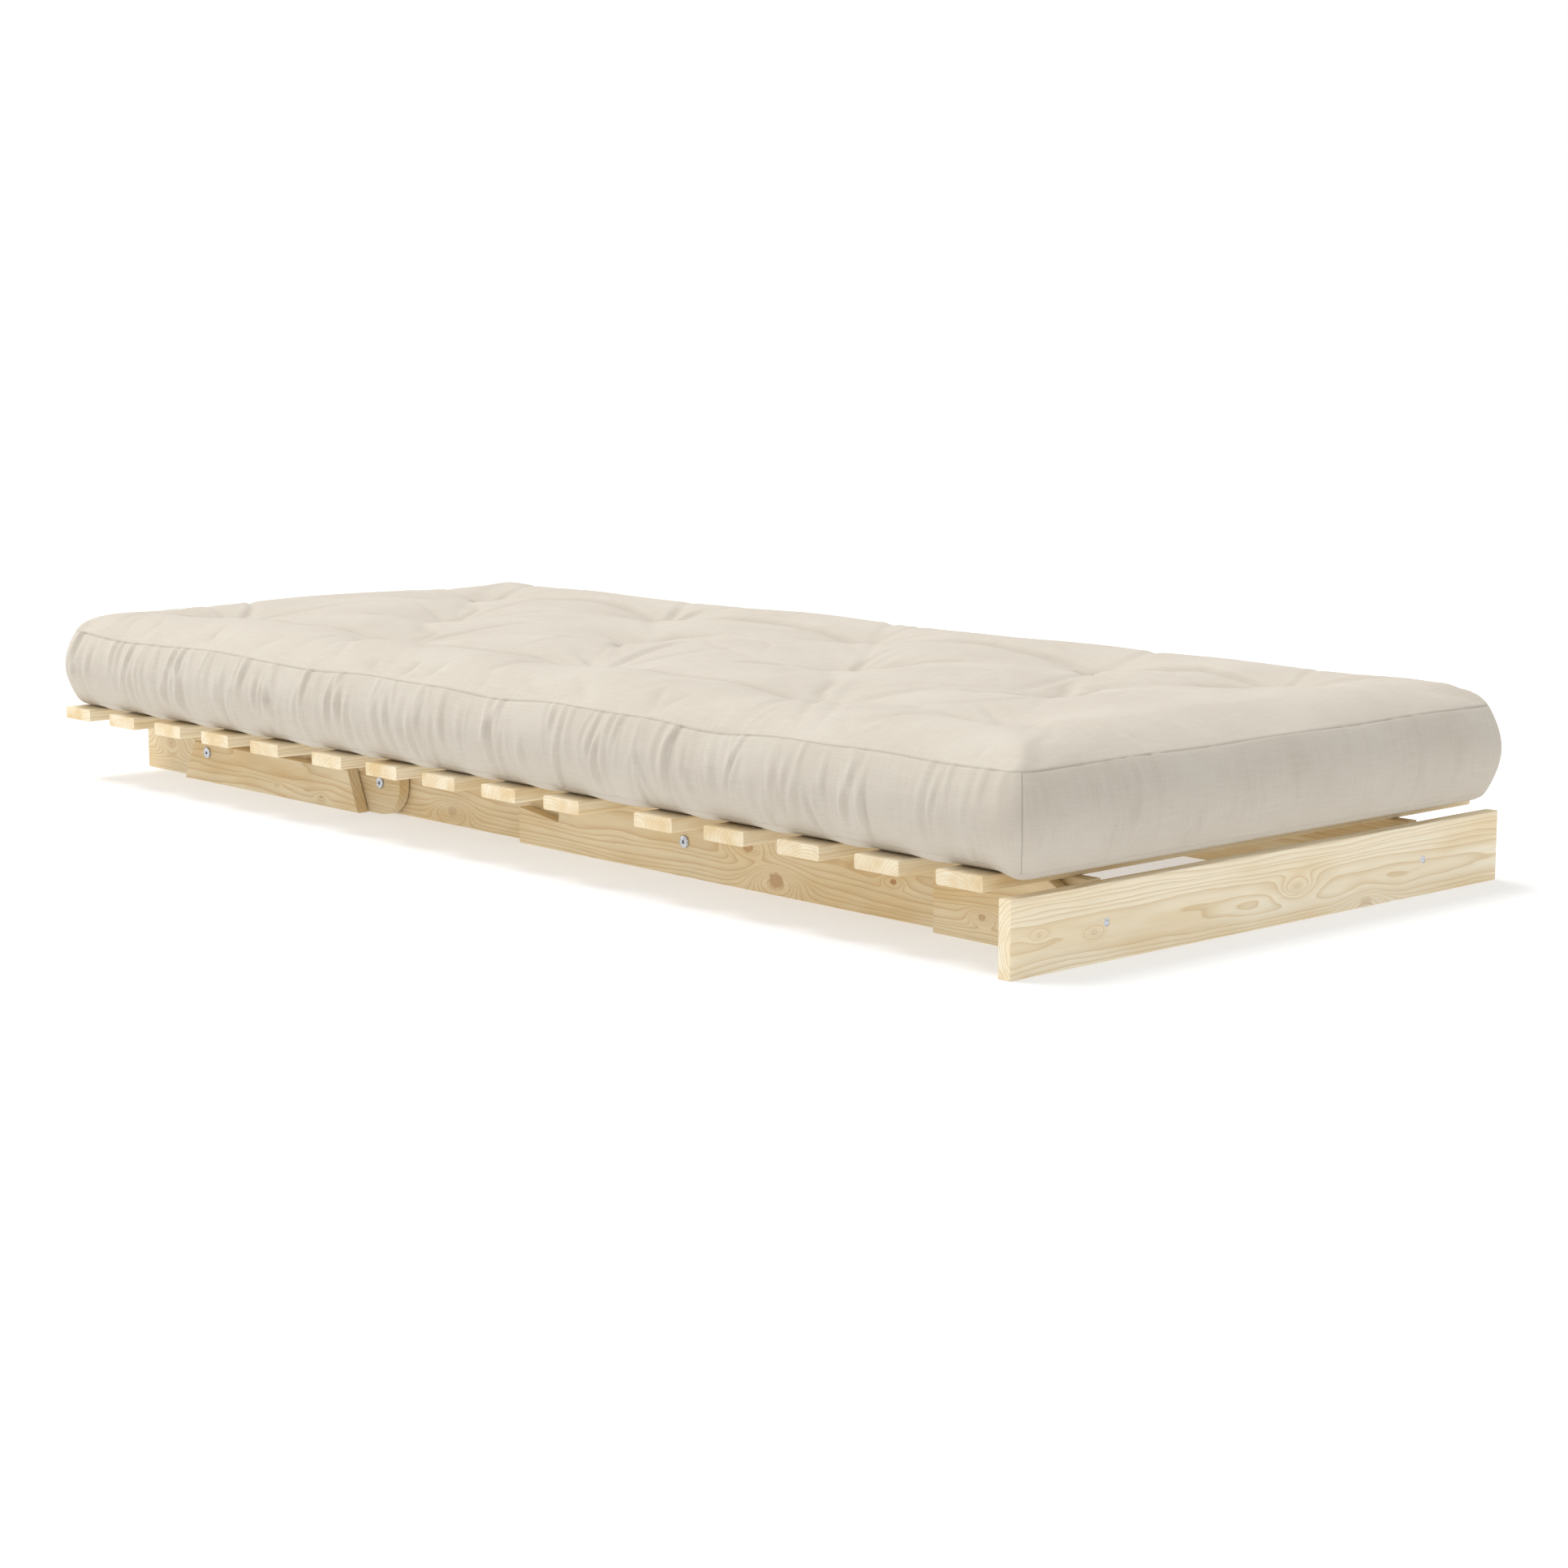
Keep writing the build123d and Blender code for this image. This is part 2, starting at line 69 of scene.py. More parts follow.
# ---- shader graphs --------------------------------------------------------------------------------
class Graph:
    """Adds nodes to one shader tree and joins them."""

    def __init__(self, tree: bpy.types.NodeTree) -> None:
        """Keep the tree."""
        self.tree = tree

    def add(self, kind: str, **settings: object) -> bpy.types.Node:
        """Add a node.

        Args:
            kind: The node's type, without the ShaderNode prefix.
            settings: Properties to set on it.

        Returns:
            The new node.
        """
        node = self.tree.nodes.new(kind if kind.startswith("NodeGroup") else "ShaderNode" + kind)
        for name, value in settings.items():
            setattr(node, name, value)
        return node

    def feed(self, socket: bpy.types.NodeSocket, value: object) -> None:
        """Give an input socket a value or join it to another node's output."""
        if isinstance(value, bpy.types.NodeSocket):
            self.tree.links.new(value, socket)
        else:
            socket.default_value = value

    def math(self, operation: str, *values: object, clamp: bool = False) -> bpy.types.NodeSocket:
        """One step of arithmetic on numbers.

        Args:
            operation: The Math node's operation.
            values: Numbers or sockets, in the node's order.
            clamp: Whether the result stays from 0 to 1.

        Returns:
            The result's socket.
        """
        node = self.add("Math", operation=operation, use_clamp=clamp)
        for socket, value in zip(node.inputs, values):
            self.feed(socket, value)
        return node.outputs[0]

    def vector(self, operation: str, *values: object) -> bpy.types.NodeSocket:
        """One step of arithmetic on vectors, whose result is a vector."""
        node = self.add("VectorMath", operation=operation)
        for socket, value in zip(node.inputs, values):
            self.feed(socket, value)
        return node.outputs[0]

    def length(self, vector: bpy.types.NodeSocket) -> bpy.types.NodeSocket:
        """The length of a vector."""
        node = self.add("VectorMath", operation="LENGTH")
        self.feed(node.inputs[0], vector)
        return node.outputs["Value"]

    def noise(self, vector: bpy.types.NodeSocket, detail: float = 2.0) -> bpy.types.NodeSocket:
        """Soft noise about one unit coarse, from 0 to 1."""
        node = self.add("TexNoise")
        self.feed(node.inputs["Vector"], vector)
        self.feed(node.inputs["Scale"], 1.0)
        self.feed(node.inputs["Detail"], detail)
        return node.outputs[0]

    def ramp(self, value: object, low: float, high: float) -> bpy.types.NodeSocket:
        """A smooth rise from 0 at low to 1 at high."""
        node = self.add("MapRange", interpolation_type="SMOOTHSTEP")
        self.feed(node.inputs["Value"], value)
        self.feed(node.inputs["From Min"], low)
        self.feed(node.inputs["From Max"], high)
        return node.outputs[0]

    def mix(self, share: object, a: object, b: object, blend: str = "MIX") -> bpy.types.NodeSocket:
        """Blend two colours.

        Args:
            share: How much of b, from 0 to 1.
            a: The first colour.
            b: The second colour.
            blend: The Mix node's blend type.

        Returns:
            The colour's socket.
        """
        node = self.add("Mix", data_type="RGBA", blend_type=blend)
        colours = [s for s in node.inputs if s.type == "RGBA"]
        self.feed(node.inputs[0], share)
        self.feed(colours[0], a)
        self.feed(colours[1], b)
        return next(s for s in node.outputs if s.type == "RGBA")

    def group(self, tree: bpy.types.NodeTree, **values: object) -> bpy.types.Node:
        """Place a node group.

        Args:
            tree: The group.
            values: Its inputs by name, with _ for a space.

        Returns:
            The group's node.
        """
        node = self.add("Group", node_tree=tree)
        for name, value in values.items():
            self.feed(node.inputs[name.replace("_", " ")], value)
        return node


def new_group(name: str, inputs: dict[str, str], outputs: dict[str, str]) -> tuple[Graph, dict, dict]:
    """Start a shader node group.

    Args:
        name: The group's name.
        inputs: Input names with their kinds, such as Float or Vector.
        outputs: Output names with their kinds.

    Returns:
        The graph, the input sockets to read from and the output sockets to feed, by name.
    """
    tree = bpy.data.node_groups.new(name, "ShaderNodeTree")
    for label, kind in inputs.items():
        tree.interface.new_socket(name=label, in_out="INPUT", socket_type="NodeSocket" + kind)
    for label, kind in outputs.items():
        tree.interface.new_socket(name=label, in_out="OUTPUT", socket_type="NodeSocket" + kind)
    graph = Graph(tree)
    start = graph.add("NodeGroupInput")
    end = graph.add("NodeGroupOutput")
    return graph, {s.name: s for s in start.outputs if s.name}, {s.name: s for s in end.inputs if s.name}


def pine_grain_group() -> bpy.types.NodeTree:
    """Growth rings and fibres in a board's own space: X along the board, Y and Z out from the pith.

    A ring's number is the distance from the pith plus slow wander, over the ring width. Within a ring
    the tone climbs as the cube of the way through it and falls sharply at its end.
    """
    inputs = {"Vector": "Vector", "Deflect": "Float", "Ring Width": "Float", "Wander": "Float"}
    outputs = {"Ring": "Float", "Fibre": "Float", "Patch": "Float", "Height": "Float"}
    graph, given, made = new_group("pine_grain", inputs, outputs)
    place = given["Vector"]
    slow = graph.noise(graph.vector("MULTIPLY", place, (3.2, 17.0, 17.0)), 2.0)
    quick = graph.noise(graph.vector("MULTIPLY", place, (16.0, 90.0, 90.0)), 2.0)
    across = graph.length(graph.vector("MULTIPLY", place, (0.0, 1.0, 1.0)))
    drift = graph.math("MULTIPLY", graph.math("SUBTRACT", slow, 0.5), given["Wander"])
    shiver = graph.math("MULTIPLY", graph.math("SUBTRACT", quick, 0.5), 0.0022)
    radius = graph.math("ADD", graph.math("ADD", across, drift), graph.math("ADD", shiver, given["Deflect"]))
    number = graph.math("DIVIDE", radius, given["Ring Width"])
    spread = graph.add("CombineXYZ")
    graph.feed(spread.inputs[0], graph.math("MULTIPLY", number, 0.37))
    uneven = graph.math("MULTIPLY", graph.noise(spread.outputs[0], 1.0), 2.4)
    way = graph.math("FRACT", graph.math("ADD", number, uneven))
    climb = graph.math("POWER", way, 3.0)
    fall = graph.math("SUBTRACT", 1.0, graph.ramp(way, 0.9, 1.0))
    ring = graph.math("MULTIPLY", climb, fall)
    fibre = graph.noise(graph.vector("MULTIPLY", place, (26.0, 1500.0, 1500.0)), 3.0)
    patch = graph.noise(graph.vector("MULTIPLY", place, (5.0, 24.0, 24.0)), 3.0)
    graph.feed(made["Ring"], ring)
    graph.feed(made["Fibre"], fibre)
    graph.feed(made["Patch"], patch)
    graph.feed(made["Height"], graph.math("ADD", graph.math("MULTIPLY", ring, 0.6), fibre))
    return graph.tree


def pine_knot_group() -> bpy.types.NodeTree:
    """One knot that runs through a board's thickness, which is Y in the board's own space.

    The rings round it are pushed outwards by a bell of its distance, and the knot has dark rings.
    """
    inputs = {"Vector": "Vector", "Centre": "Vector", "Radius": "Float", "Push": "Float"}
    outputs = {"Deflect": "Float", "Mask": "Float", "Ring": "Float"}
    graph, given, made = new_group("pine_knot", inputs, outputs)
    apart = graph.vector("SUBTRACT", given["Vector"], given["Centre"])
    flat = graph.vector("MULTIPLY", apart, (0.72, 0.12, 1.0))
    rough = graph.noise(graph.vector("MULTIPLY", apart, (130.0, 40.0, 130.0)), 2.0)
    uneven = graph.math("MULTIPLY", graph.math("SUBTRACT", rough, 0.5), 0.7)
    share = graph.math("DIVIDE", graph.length(flat), given["Radius"])
    near = graph.math("ADD", share, uneven)
    mask = graph.math("SUBTRACT", 1.0, graph.ramp(near, 0.72, 1.12))
    reach = graph.vector("MULTIPLY", apart, (0.34, 0.12, 0.85))
    far = graph.math("DIVIDE", graph.length(reach), given["Radius"])
    bell = graph.math("EXPONENT", graph.math("MULTIPLY", graph.math("MULTIPLY", far, far), -0.42))
    ring = graph.math("FRACT", graph.math("MULTIPLY", near, 3.1))
    graph.feed(made["Deflect"], graph.math("MULTIPLY", bell, given["Push"]))
    graph.feed(made["Mask"], mask)
    graph.feed(made["Ring"], ring)
    return graph.tree


def plain_weave_group() -> bpy.types.NodeTree:
    """Cotton threads over and under each other, on a map whose unit is the metre.

    The height is the product of two sine waves, one for each set of threads, shifted by a slow
    unevenness. The slub is long faint streaks along both sets.
    """
    inputs = {"Vector": "Vector", "Thread": "Float"}
    outputs = {"Height": "Float", "Slub": "Float", "Cloud": "Float"}
    graph, given, made = new_group("plain_weave", inputs, outputs)
    place = given["Vector"]
    bend = graph.noise(graph.vector("MULTIPLY", place, (60.0, 60.0, 60.0)), 2.0)
    turns = graph.math("DIVIDE", math.pi, given["Thread"])
    split = graph.add("SeparateXYZ")
    graph.feed(split.inputs[0], place)
    shift = graph.math("MULTIPLY", bend, 5.0)
    warp = graph.math("SINE", graph.math("ADD", graph.math("MULTIPLY", split.outputs[0], turns), shift))
    weft = graph.math("SINE", graph.math("ADD", graph.math("MULTIPLY", split.outputs[1], turns), shift))
    along = graph.noise(graph.vector("MULTIPLY", place, (22.0, 520.0, 1.0)), 2.0)
    upright = graph.noise(graph.vector("MULTIPLY", place, (520.0, 22.0, 1.0)), 2.0)
    graph.feed(made["Height"], graph.math("MULTIPLY", warp, weft))
    graph.feed(made["Slub"], graph.math("MULTIPLY", graph.math("ADD", along, upright), 0.5))
    graph.feed(made["Cloud"], graph.noise(graph.vector("MULTIPLY", place, (7.0, 7.0, 1.0)), 3.0))
    return graph.tree


# ---- finishes -------------------------------------------------------------------------------------
class Lay(Enum):
    """How a board lies, as the turn that brings its length to X and its wide face's normal to Y."""

    ACROSS_ON_EDGE = (0.0, 0.0, 0.0)
    ALONG_ON_EDGE = (0.0, 0.0, -math.pi / 2)
    ACROSS_FLAT = (-math.pi / 2, 0.0, 0.0)


@dataclass(frozen=True)
class Knot:
    """A knot in a board: its place in the bed's frame, its radius, its push on the rings and its darkness."""

    place: Place
    radius: float = 0.008
    push: float = 0.016
    shown: float = 0.8


@dataclass(frozen=True)
class PineFinish:
    """Planed, unvarnished pine."""

    early: Colour = srgb(238, 222, 188)
    late: Colour = srgb(201, 162, 104)
    warm: Colour = srgb(226, 200, 152)
    knot_light: Colour = srgb(206, 158, 102)
    knot_dark: Colour = srgb(140, 90, 50)
    contrast: float = 0.75
    roughness: float = 0.56
    bump: float = 0.12

    def build(self, name: str, board: "Board", groups: "Groups") -> bpy.types.Material:
        """Make the material of one board.

        Args:
            name: The material's name.
            board: The board, for its lay, pith, ring width and knots.
            groups: The shared shader groups.

        Returns:
            The material.
        """
        material, graph, shader = new_material(name)
        place = graph.add("TexCoord").outputs["Object"]
        mapping = graph.add("Mapping")
        graph.feed(mapping.inputs["Vector"], graph.vector("SUBTRACT", place, board.centre))
        graph.feed(mapping.inputs["Rotation"], board.lay.value)
        local = mapping.outputs[0]
        deflect: object = 0.0
        mask: object = 0.0
        knot_ring: object = 0.0
        for knot in board.knots:
            one = graph.group(
                groups.knot, Vector=local, Centre=board.to_local(knot.place), Radius=knot.radius, Push=knot.push
            )
            deflect = graph.math("ADD", deflect, one.outputs["Deflect"])
            mask = graph.math("MAXIMUM", mask, graph.math("MULTIPLY", one.outputs["Mask"], knot.shown))
            knot_ring = graph.math("ADD", knot_ring, one.outputs["Ring"])
        grain = graph.group(
            groups.grain,
            Vector=graph.vector("ADD", local, board.pith),
            Deflect=deflect,
            Ring_Width=board.ring_width,
            Wander=board.wander,
        )
        base = graph.mix(graph.ramp(grain.outputs["Patch"], 0.35, 0.75), self.early, self.warm)
        depth = graph.math("MULTIPLY", grain.outputs["Ring"], self.contrast)
        colour = graph.mix(depth, base, self.late)
        streak = graph.math("MULTIPLY_ADD", grain.outputs["Fibre"], 0.24, board.tone - 0.12)
        colour = graph.mix(1.0, colour, grey(graph, streak), "MULTIPLY")
        if board.knots:
            wood = graph.mix(graph.math("FRACT", knot_ring), self.knot_light, self.knot_dark)
            colour = graph.mix(mask, colour, wood)
        graph.feed(shader.inputs["Base Color"], colour)
        rough = graph.math("MULTIPLY_ADD", grain.outputs["Fibre"], 0.16, self.roughness - 0.08)
        graph.feed(shader.inputs["Roughness"], rough)
        shader.inputs["Specular IOR Level"].default_value = 0.32
        bump = graph.add("Bump")
        bump.inputs["Strength"].default_value = self.bump
        bump.inputs["Distance"].default_value = 0.0006
        graph.feed(bump.inputs["Height"], grain.outputs["Height"])
        graph.feed(shader.inputs["Normal"], bump.outputs[0])
        return material


@dataclass(frozen=True)
class SteelFinish:
    """Zinc-plated steel, turned and slightly dull."""

    bright: Colour = srgb(214, 217, 222)
    dull: Colour = srgb(160, 164, 172)
    roughness: float = 0.3

    def build(self, name: str) -> bpy.types.Material:
        """Make the material."""
        material, graph, shader = new_material(name)
        place = graph.add("TexCoord").outputs["Object"]
        cloud = graph.noise(graph.vector("MULTIPLY", place, (420.0, 420.0, 420.0)), 3.0)
        scratch = graph.noise(graph.vector("MULTIPLY", place, (600.0, 5200.0, 900.0)), 2.0)
        colour = graph.mix(graph.ramp(cloud, 0.35, 0.7), self.bright, self.dull)
        graph.feed(shader.inputs["Base Color"], colour)
        shader.inputs["Metallic"].default_value = 1.0
        graph.feed(shader.inputs["Roughness"], graph.math("MULTIPLY_ADD", cloud, 0.22, self.roughness - 0.1))
        bump = graph.add("Bump")
        bump.inputs["Strength"].default_value = 0.25
        bump.inputs["Distance"].default_value = 0.00005
        graph.feed(bump.inputs["Height"], scratch)
        graph.feed(shader.inputs["Normal"], bump.outputs[0])
        return material


@dataclass(frozen=True)
class CottonFinish:
    """Unbleached cotton in a plain weave, with a sewn line along each seam and painted shade in its creases."""

    cloth: Colour = srgb(209, 201, 188)
    shade: Colour = srgb(200, 191, 177)
    thread: Colour = srgb(142, 132, 116)
    # crease: painted shade, a darker cloth colour that stands in for the shade in creases and in the grooves of
    # the gathers
    crease: Colour = srgb(150, 139, 121)
    thread_width: float = 0.0009
    roughness: float = 0.93

    def build(self, name: str, groups: "Groups") -> bpy.types.Material:
        """Make the material, on the cloth's own map, its seam mask and its mask of painted shade in the creases
        and gathers.
        """
        material, graph, shader = new_material(name)
        cloth_map = graph.add("UVMap", uv_map="cloth").outputs[0]
        weave = graph.group(groups.weave, Vector=cloth_map, Thread=self.thread_width)
        seam = graph.add("Attribute", attribute_name="seam").outputs["Fac"]
        tone = graph.math("ADD", weave.outputs["Slub"], graph.math("MULTIPLY", weave.outputs["Cloud"], 0.6))
        colour = graph.mix(graph.ramp(tone, 0.55, 1.05), self.cloth, self.shade)
        colour = graph.mix(graph.math("MULTIPLY", seam, 0.45), colour, self.thread)
        # Painted shade: a mask of the creases and of the grooves of the gathers darkens the cloth towards the
        # crease colour.
        painted_crease_shade = graph.add("Attribute", attribute_name="painted_crease_shade").outputs["Fac"]
        colour = graph.mix(graph.math("MULTIPLY", painted_crease_shade, 0.42), colour, self.crease)
        graph.feed(shader.inputs["Base Color"], colour)
        shader.inputs["Roughness"].default_value = self.roughness
        shader.inputs["Specular IOR Level"].default_value = 0.2
        shader.inputs["Sheen Weight"].default_value = 0.12
        shader.inputs["Sheen Roughness"].default_value = 0.5
        height = graph.math("MULTIPLY_ADD", weave.outputs["Slub"], 1.6, weave.outputs["Height"])
        bump = graph.add("Bump")
        bump.inputs["Strength"].default_value = 0.3
        bump.inputs["Distance"].default_value = 0.0004
        graph.feed(bump.inputs["Height"], height)
        graph.feed(shader.inputs["Normal"], bump.outputs[0])
        return material


@dataclass(frozen=True)
class Groups:
    """The shader groups that several materials share."""

    grain: bpy.types.NodeTree
    knot: bpy.types.NodeTree
    weave: bpy.types.NodeTree


def new_material(name: str) -> tuple[bpy.types.Material, Graph, bpy.types.Node]:
    """A material with only a Principled shader in it, its graph and that shader."""
    material = bpy.data.materials.new(name)
    material.use_nodes = True
    graph = Graph(material.node_tree)
    material.node_tree.nodes.clear()
    shader = graph.add("BsdfPrincipled")
    graph.feed(graph.add("OutputMaterial").inputs["Surface"], shader.outputs[0])
    return material, graph, shader


def grey(graph: Graph, value: bpy.types.NodeSocket) -> bpy.types.NodeSocket:
    """A number as a grey colour."""
    node = graph.add("CombineColor")
    for socket in node.inputs:
        graph.feed(socket, value)
    return node.outputs[0]


# ---- the frame's boards and fittings ----------------------------------------------------------------
@dataclass
class Board:
    """One wooden node: how it lies and how it was sawn from the log."""

    node: str
    lay: Lay
    knots: tuple[Knot, ...] = ()
    tone: float = 1.0
    ring_width: float = 0.0042
    wander: float = 0.02
    pith: Place = (0.0, 0.035, 0.0)
    finish: PineFinish = PineFinish()
    centre: Place = field(init=False)

    def __post_init__(self) -> None:
        """Read the board's middle from the frame."""
        low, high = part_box(self.node)
        self.centre = tuple((low + high) / 2)

    def to_local(self, place: Place) -> Place:
        """A place in the bed's frame, in the board's own space."""
        x, y, z = (a - b for a, b in zip(place, self.centre))
        turned = {
            Lay.ACROSS_ON_EDGE: (x, y, z),
            Lay.ALONG_ON_EDGE: (y, -x, z),
            Lay.ACROSS_FLAT: (x, z, -y),
        }
        return turned[self.lay]

    def dress(self, groups: Groups) -> None:
        """Give the node its own pine."""
        paint(self.node, self.finish.build(f"pine_{self.node}", self, groups))
        log.info("board %s, %d knots", self.node, len(self.knots))


def paint(node: str, material: bpy.types.Material) -> None:
    """Put a material in every slot of a CAD node."""
    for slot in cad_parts[node].material_slots:
        slot.material = material


@dataclass
class PineFrame:
    """The cross board, the rails, the legs and the slats."""

    groups: Groups
    seed: int = 11
    sections: tuple[str, ...] = ("seat", "middle", "head")
    side_boards: tuple[str, ...] = ("seat_rail", "middle_rail", "head_rail", "front_leg", "prop_leg")
    slats_per_section: int = 5
    known_knots: dict[str, tuple[Knot, ...]] = field(default_factory=dict)

    def __post_init__(self) -> None:
        """Place the knots of the left side and the front."""
        self.known_knots = {
            "seat_rail_left": (
                self.known_knot("seat_rail_left", 0.5, 0.2, 0.0105, 0.03, 0.62),
                self.known_knot("seat_rail_left", 0.55, 0.6, 0.0085, 0.024, 0.6),
                self.known_knot("seat_rail_left", 0.3, 0.5, 0.004, 0.012, 0.8),
            ),
            "middle_rail_left": (self.known_knot("middle_rail_left", 0.75, 0.2, 0.008, 0.034, 0.3),),
            "head_rail_left": (self.known_knot("head_rail_left", 0.9, 0.5, 0.009, 0.03, 0.25),),
            "prop_leg_left": (
                self.known_knot("prop_leg_left", 0.2, 0.2, 0.003, 0.01, 0.5),
                self.known_knot("prop_leg_left", 0.45, 0.3, 0.002, 0.012, 0.3),
            ),
            "cross_board": (
                self.known_knot("cross_board", 0.7, 0.05, 0.009, 0.026, 0.22),
                self.known_knot("cross_board", 0.55, 0.45, 0.008, 0.022, 0.06),
                self.known_knot("cross_board", 0.05, 0.5, 0.003, 0.017, 0.25),
                self.known_knot("cross_board", 0.15, 0.4, 0.0035, 0.018, 0.2),
            ),
        }

    @staticmethod
    def known_knot(node: str, along: float, up: float, radius: float, push: float, shown: float) -> Knot:
        """A knot on the left face of a board along the bed, or on the front face of the cross board.

        Args:
            node: the board, which stands on its edge.
            along: the share of its length, from its front end or, on the cross board, from its left end.
            up: the share of its height, from its lower edge.
            radius: the knot's radius.
            push: how far it bends the rings round it.
            shown: how dark it is.

        Returns:
            The knot, in the bed's frame.
        """
        low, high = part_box(node)
        size = high - low
        z = low.z + up * size.z
        if node == "cross_board":
            return Knot((low.x + along * size.x, low.y, z), radius, push, shown)
        return Knot((low.x, low.y + along * size.y, z), radius, push, shown)

    def dress(self) -> None:
        """Give every board its own grain."""
        rng = np.random.default_rng(self.seed)
        self.cross_board().dress(self.groups)
        for name in self.side_boards:
            for side in ("left", "right"):
                self.side_board(f"{name}_{side}", rng).dress(self.groups)
        for section in self.sections:
            for number in range(1, self.slats_per_section + 1):
                self.slat(f"{section}_slat_{number}", rng).dress(self.groups)

    def cross_board(self) -> Board:
        """The board at the foot end, which is the palest."""
        finish = PineFinish(early=srgb(249, 238, 213), late=srgb(212, 180, 126), warm=srgb(240, 221, 184))
        return Board(
            "cross_board",
            Lay.ACROSS_ON_EDGE,
            self.known_knots["cross_board"],
            tone=1.02,
            ring_width=0.0052,
            wander=0.026,
            pith=(0.0, 0.03, 0.012),
            finish=finish,
        )

    def side_board(self, node: str, rng: np.random.Generator) -> Board:
        """A rail or a leg, on its edge along the bed."""
        return Board(
            node,
            Lay.ALONG_ON_EDGE,
            self.known_knots.get(node, self.stray_knots(node, rng)),
            tone=float(rng.uniform(0.92, 0.96) if "head" in node or "prop" in node else rng.uniform(0.96, 1.0)),
            ring_width=float(rng.uniform(0.0036, 0.005)),
            wander=float(rng.uniform(0.016, 0.028)),
            pith=(float(rng.uniform(-3, 3)), float(rng.uniform(0.025, 0.05)), float(rng.uniform(-0.03, 0.03))),
        )

    def stray_knots(self, node: str, rng: np.random.Generator) -> tuple[Knot, ...]:
        """One or two knots at random on the outward face of a board whose knots aren't known."""
        low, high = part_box(node)
        x = high.x if node.endswith("right") else low.x
        made = []
        for _ in range(rng.integers(1, 3)):
            y = float(rng.uniform(low.y + 0.05, high.y - 0.05))
            z = float(rng.uniform(low.z + 0.02, high.z - 0.02))
            radius, push = float(rng.uniform(0.004, 0.01)), float(rng.uniform(0.012, 0.028))
            made.append(Knot((x, y, z), radius, push, 0.55))
        return tuple(made)

    def slat(self, node: str, rng: np.random.Generator) -> Board:
        """A slat, flat across the bed."""
        finish = PineFinish(early=srgb(245, 233, 205), late=srgb(210, 174, 118), contrast=0.6)
        return Board(
            node,
            Lay.ACROSS_FLAT,
            tone=float(rng.uniform(0.97, 1.05)),
            ring_width=float(rng.uniform(0.0028, 0.0044)),
            wander=float(rng.uniform(0.01, 0.018)),
            pith=(float(rng.uniform(-3, 3)), float(rng.uniform(0.02, 0.05)), float(rng.uniform(-0.05, 0.05))),
            finish=finish,
        )


@dataclass
class Fittings:
    """Pivot bolts, sleeve nuts, washers and wood screws."""

    finish: SteelFinish = SteelFinish()

    def dress(self) -> None:
        """Give every steel node the same plated finish."""
        material = self.finish.build("zinc_steel")
        endings = ("bolt_left", "bolt_right", "nuts", "washers", "screws")
        names = sorted(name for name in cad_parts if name.endswith(endings))
        for name in names:
            paint(name, material)
        log.info("fittings: %d steel nodes", len(names))


# ---- the futon --------------------------------------------------------------------------------------
@dataclass
class Tufts:
    """Where threads pull the futon together: two outer rows, and a middle row halfway between them."""

    front: float
    row_x: float = 0.25
    first: float = 0.19
    first_pitch: float = 0.315
    pitch: float = 0.45
    in_outer_row: int = 5

    def outer(self) -> np.ndarray:
        """The Y of each tuft in an outer row."""
        steps = np.concatenate(([0.0, self.first_pitch], np.full(self.in_outer_row - 2, self.pitch)))
        return self.front + self.first + np.cumsum(steps)

    def middle(self) -> np.ndarray:
        """The Y of each tuft in the middle row."""
        outer = self.outer()
        return (outer[1:] + outer[:-1]) / 2

    def places(self) -> np.ndarray:
        """Every tuft's X and Y, one row for each."""
        outer, middle = self.outer(), self.middle()
        rows = [
            np.column_stack((np.full_like(outer, -self.row_x), outer)),
            np.column_stack((np.zeros_like(middle), middle)),
            np.column_stack((np.full_like(outer, self.row_x), outer)),
        ]
        return np.concatenate(rows)

    def valleys(self) -> np.ndarray:
        """The lines that sink between neighbouring tufts, as start X, start Y, end X and end Y."""
        outer, middle = self.outer(), self.middle()
        lines = []
        for x in (-self.row_x, self.row_x):
            side = np.full_like(middle, x)
            centre = np.zeros_like(middle)
            lines.append(np.column_stack((side, outer[:-1], side, outer[1:])))
            lines.append(np.column_stack((side, outer[:-1], centre, middle)))
            lines.append(np.column_stack((centre, middle, side, outer[1:])))
        return np.concatenate(lines)


@dataclass
class Fold:
    """A valley pressed into the cloth along a line, with a lip on one side."""

    line: list[tuple[float, float]]
    depth: float
    width: float

    def rise(self, x: np.ndarray, y: np.ndarray) -> np.ndarray:
        """How far the cloth rises or sinks.

        Across the line it sinks to a sharp crease, dying out exponentially, and rises in a Gaussian
        beside it. Along the line both fade in and out as the square root of a sine.

        Args:
            x: The places' X.
            y: The places' Y.

        Returns:
            The rise at each place, negative where it sinks.
        """
        points = np.array(self.line)
        reach = 4 * self.width
        low, high = points.min(axis=0) - reach, points.max(axis=0) + reach
        near = (x > low[0]) & (x < high[0]) & (y > low[1]) & (y < high[1])
        px, py = x[near], y[near]
        runs = np.concatenate(([0.0], np.cumsum(np.linalg.norm(np.diff(points, axis=0), axis=1))))
        away = np.full_like(px, np.inf)
        along = np.zeros_like(px)
        for (x0, y0), (x1, y1), begun, done in zip(points[:-1], points[1:], runs[:-1], runs[1:]):
            dx, dy = (x1 - x0) / (done - begun), (y1 - y0) / (done - begun)
            run = np.clip((px - x0) * dx + (py - y0) * dy, 0, done - begun)
            side = (px - x0) * dy - (py - y0) * dx
            gap = np.hypot(px - x0 - run * dx, py - y0 - run * dy)
            closer = gap < np.abs(away)
            away = np.where(closer, np.copysign(gap, side), away)
            along = np.where(closer, begun + run, along)
        across = away / self.width
        swell = np.sqrt(np.sin(math.pi * np.clip(along / runs[-1], 0, 1)))
        total = np.zeros_like(x)
        lip = 0.4 * np.exp(-(((across - 1.6) / 1.2) ** 2))
        total[near] = self.depth * swell * (lip - np.exp(-(np.abs(across) ** 1.1)))
        return total


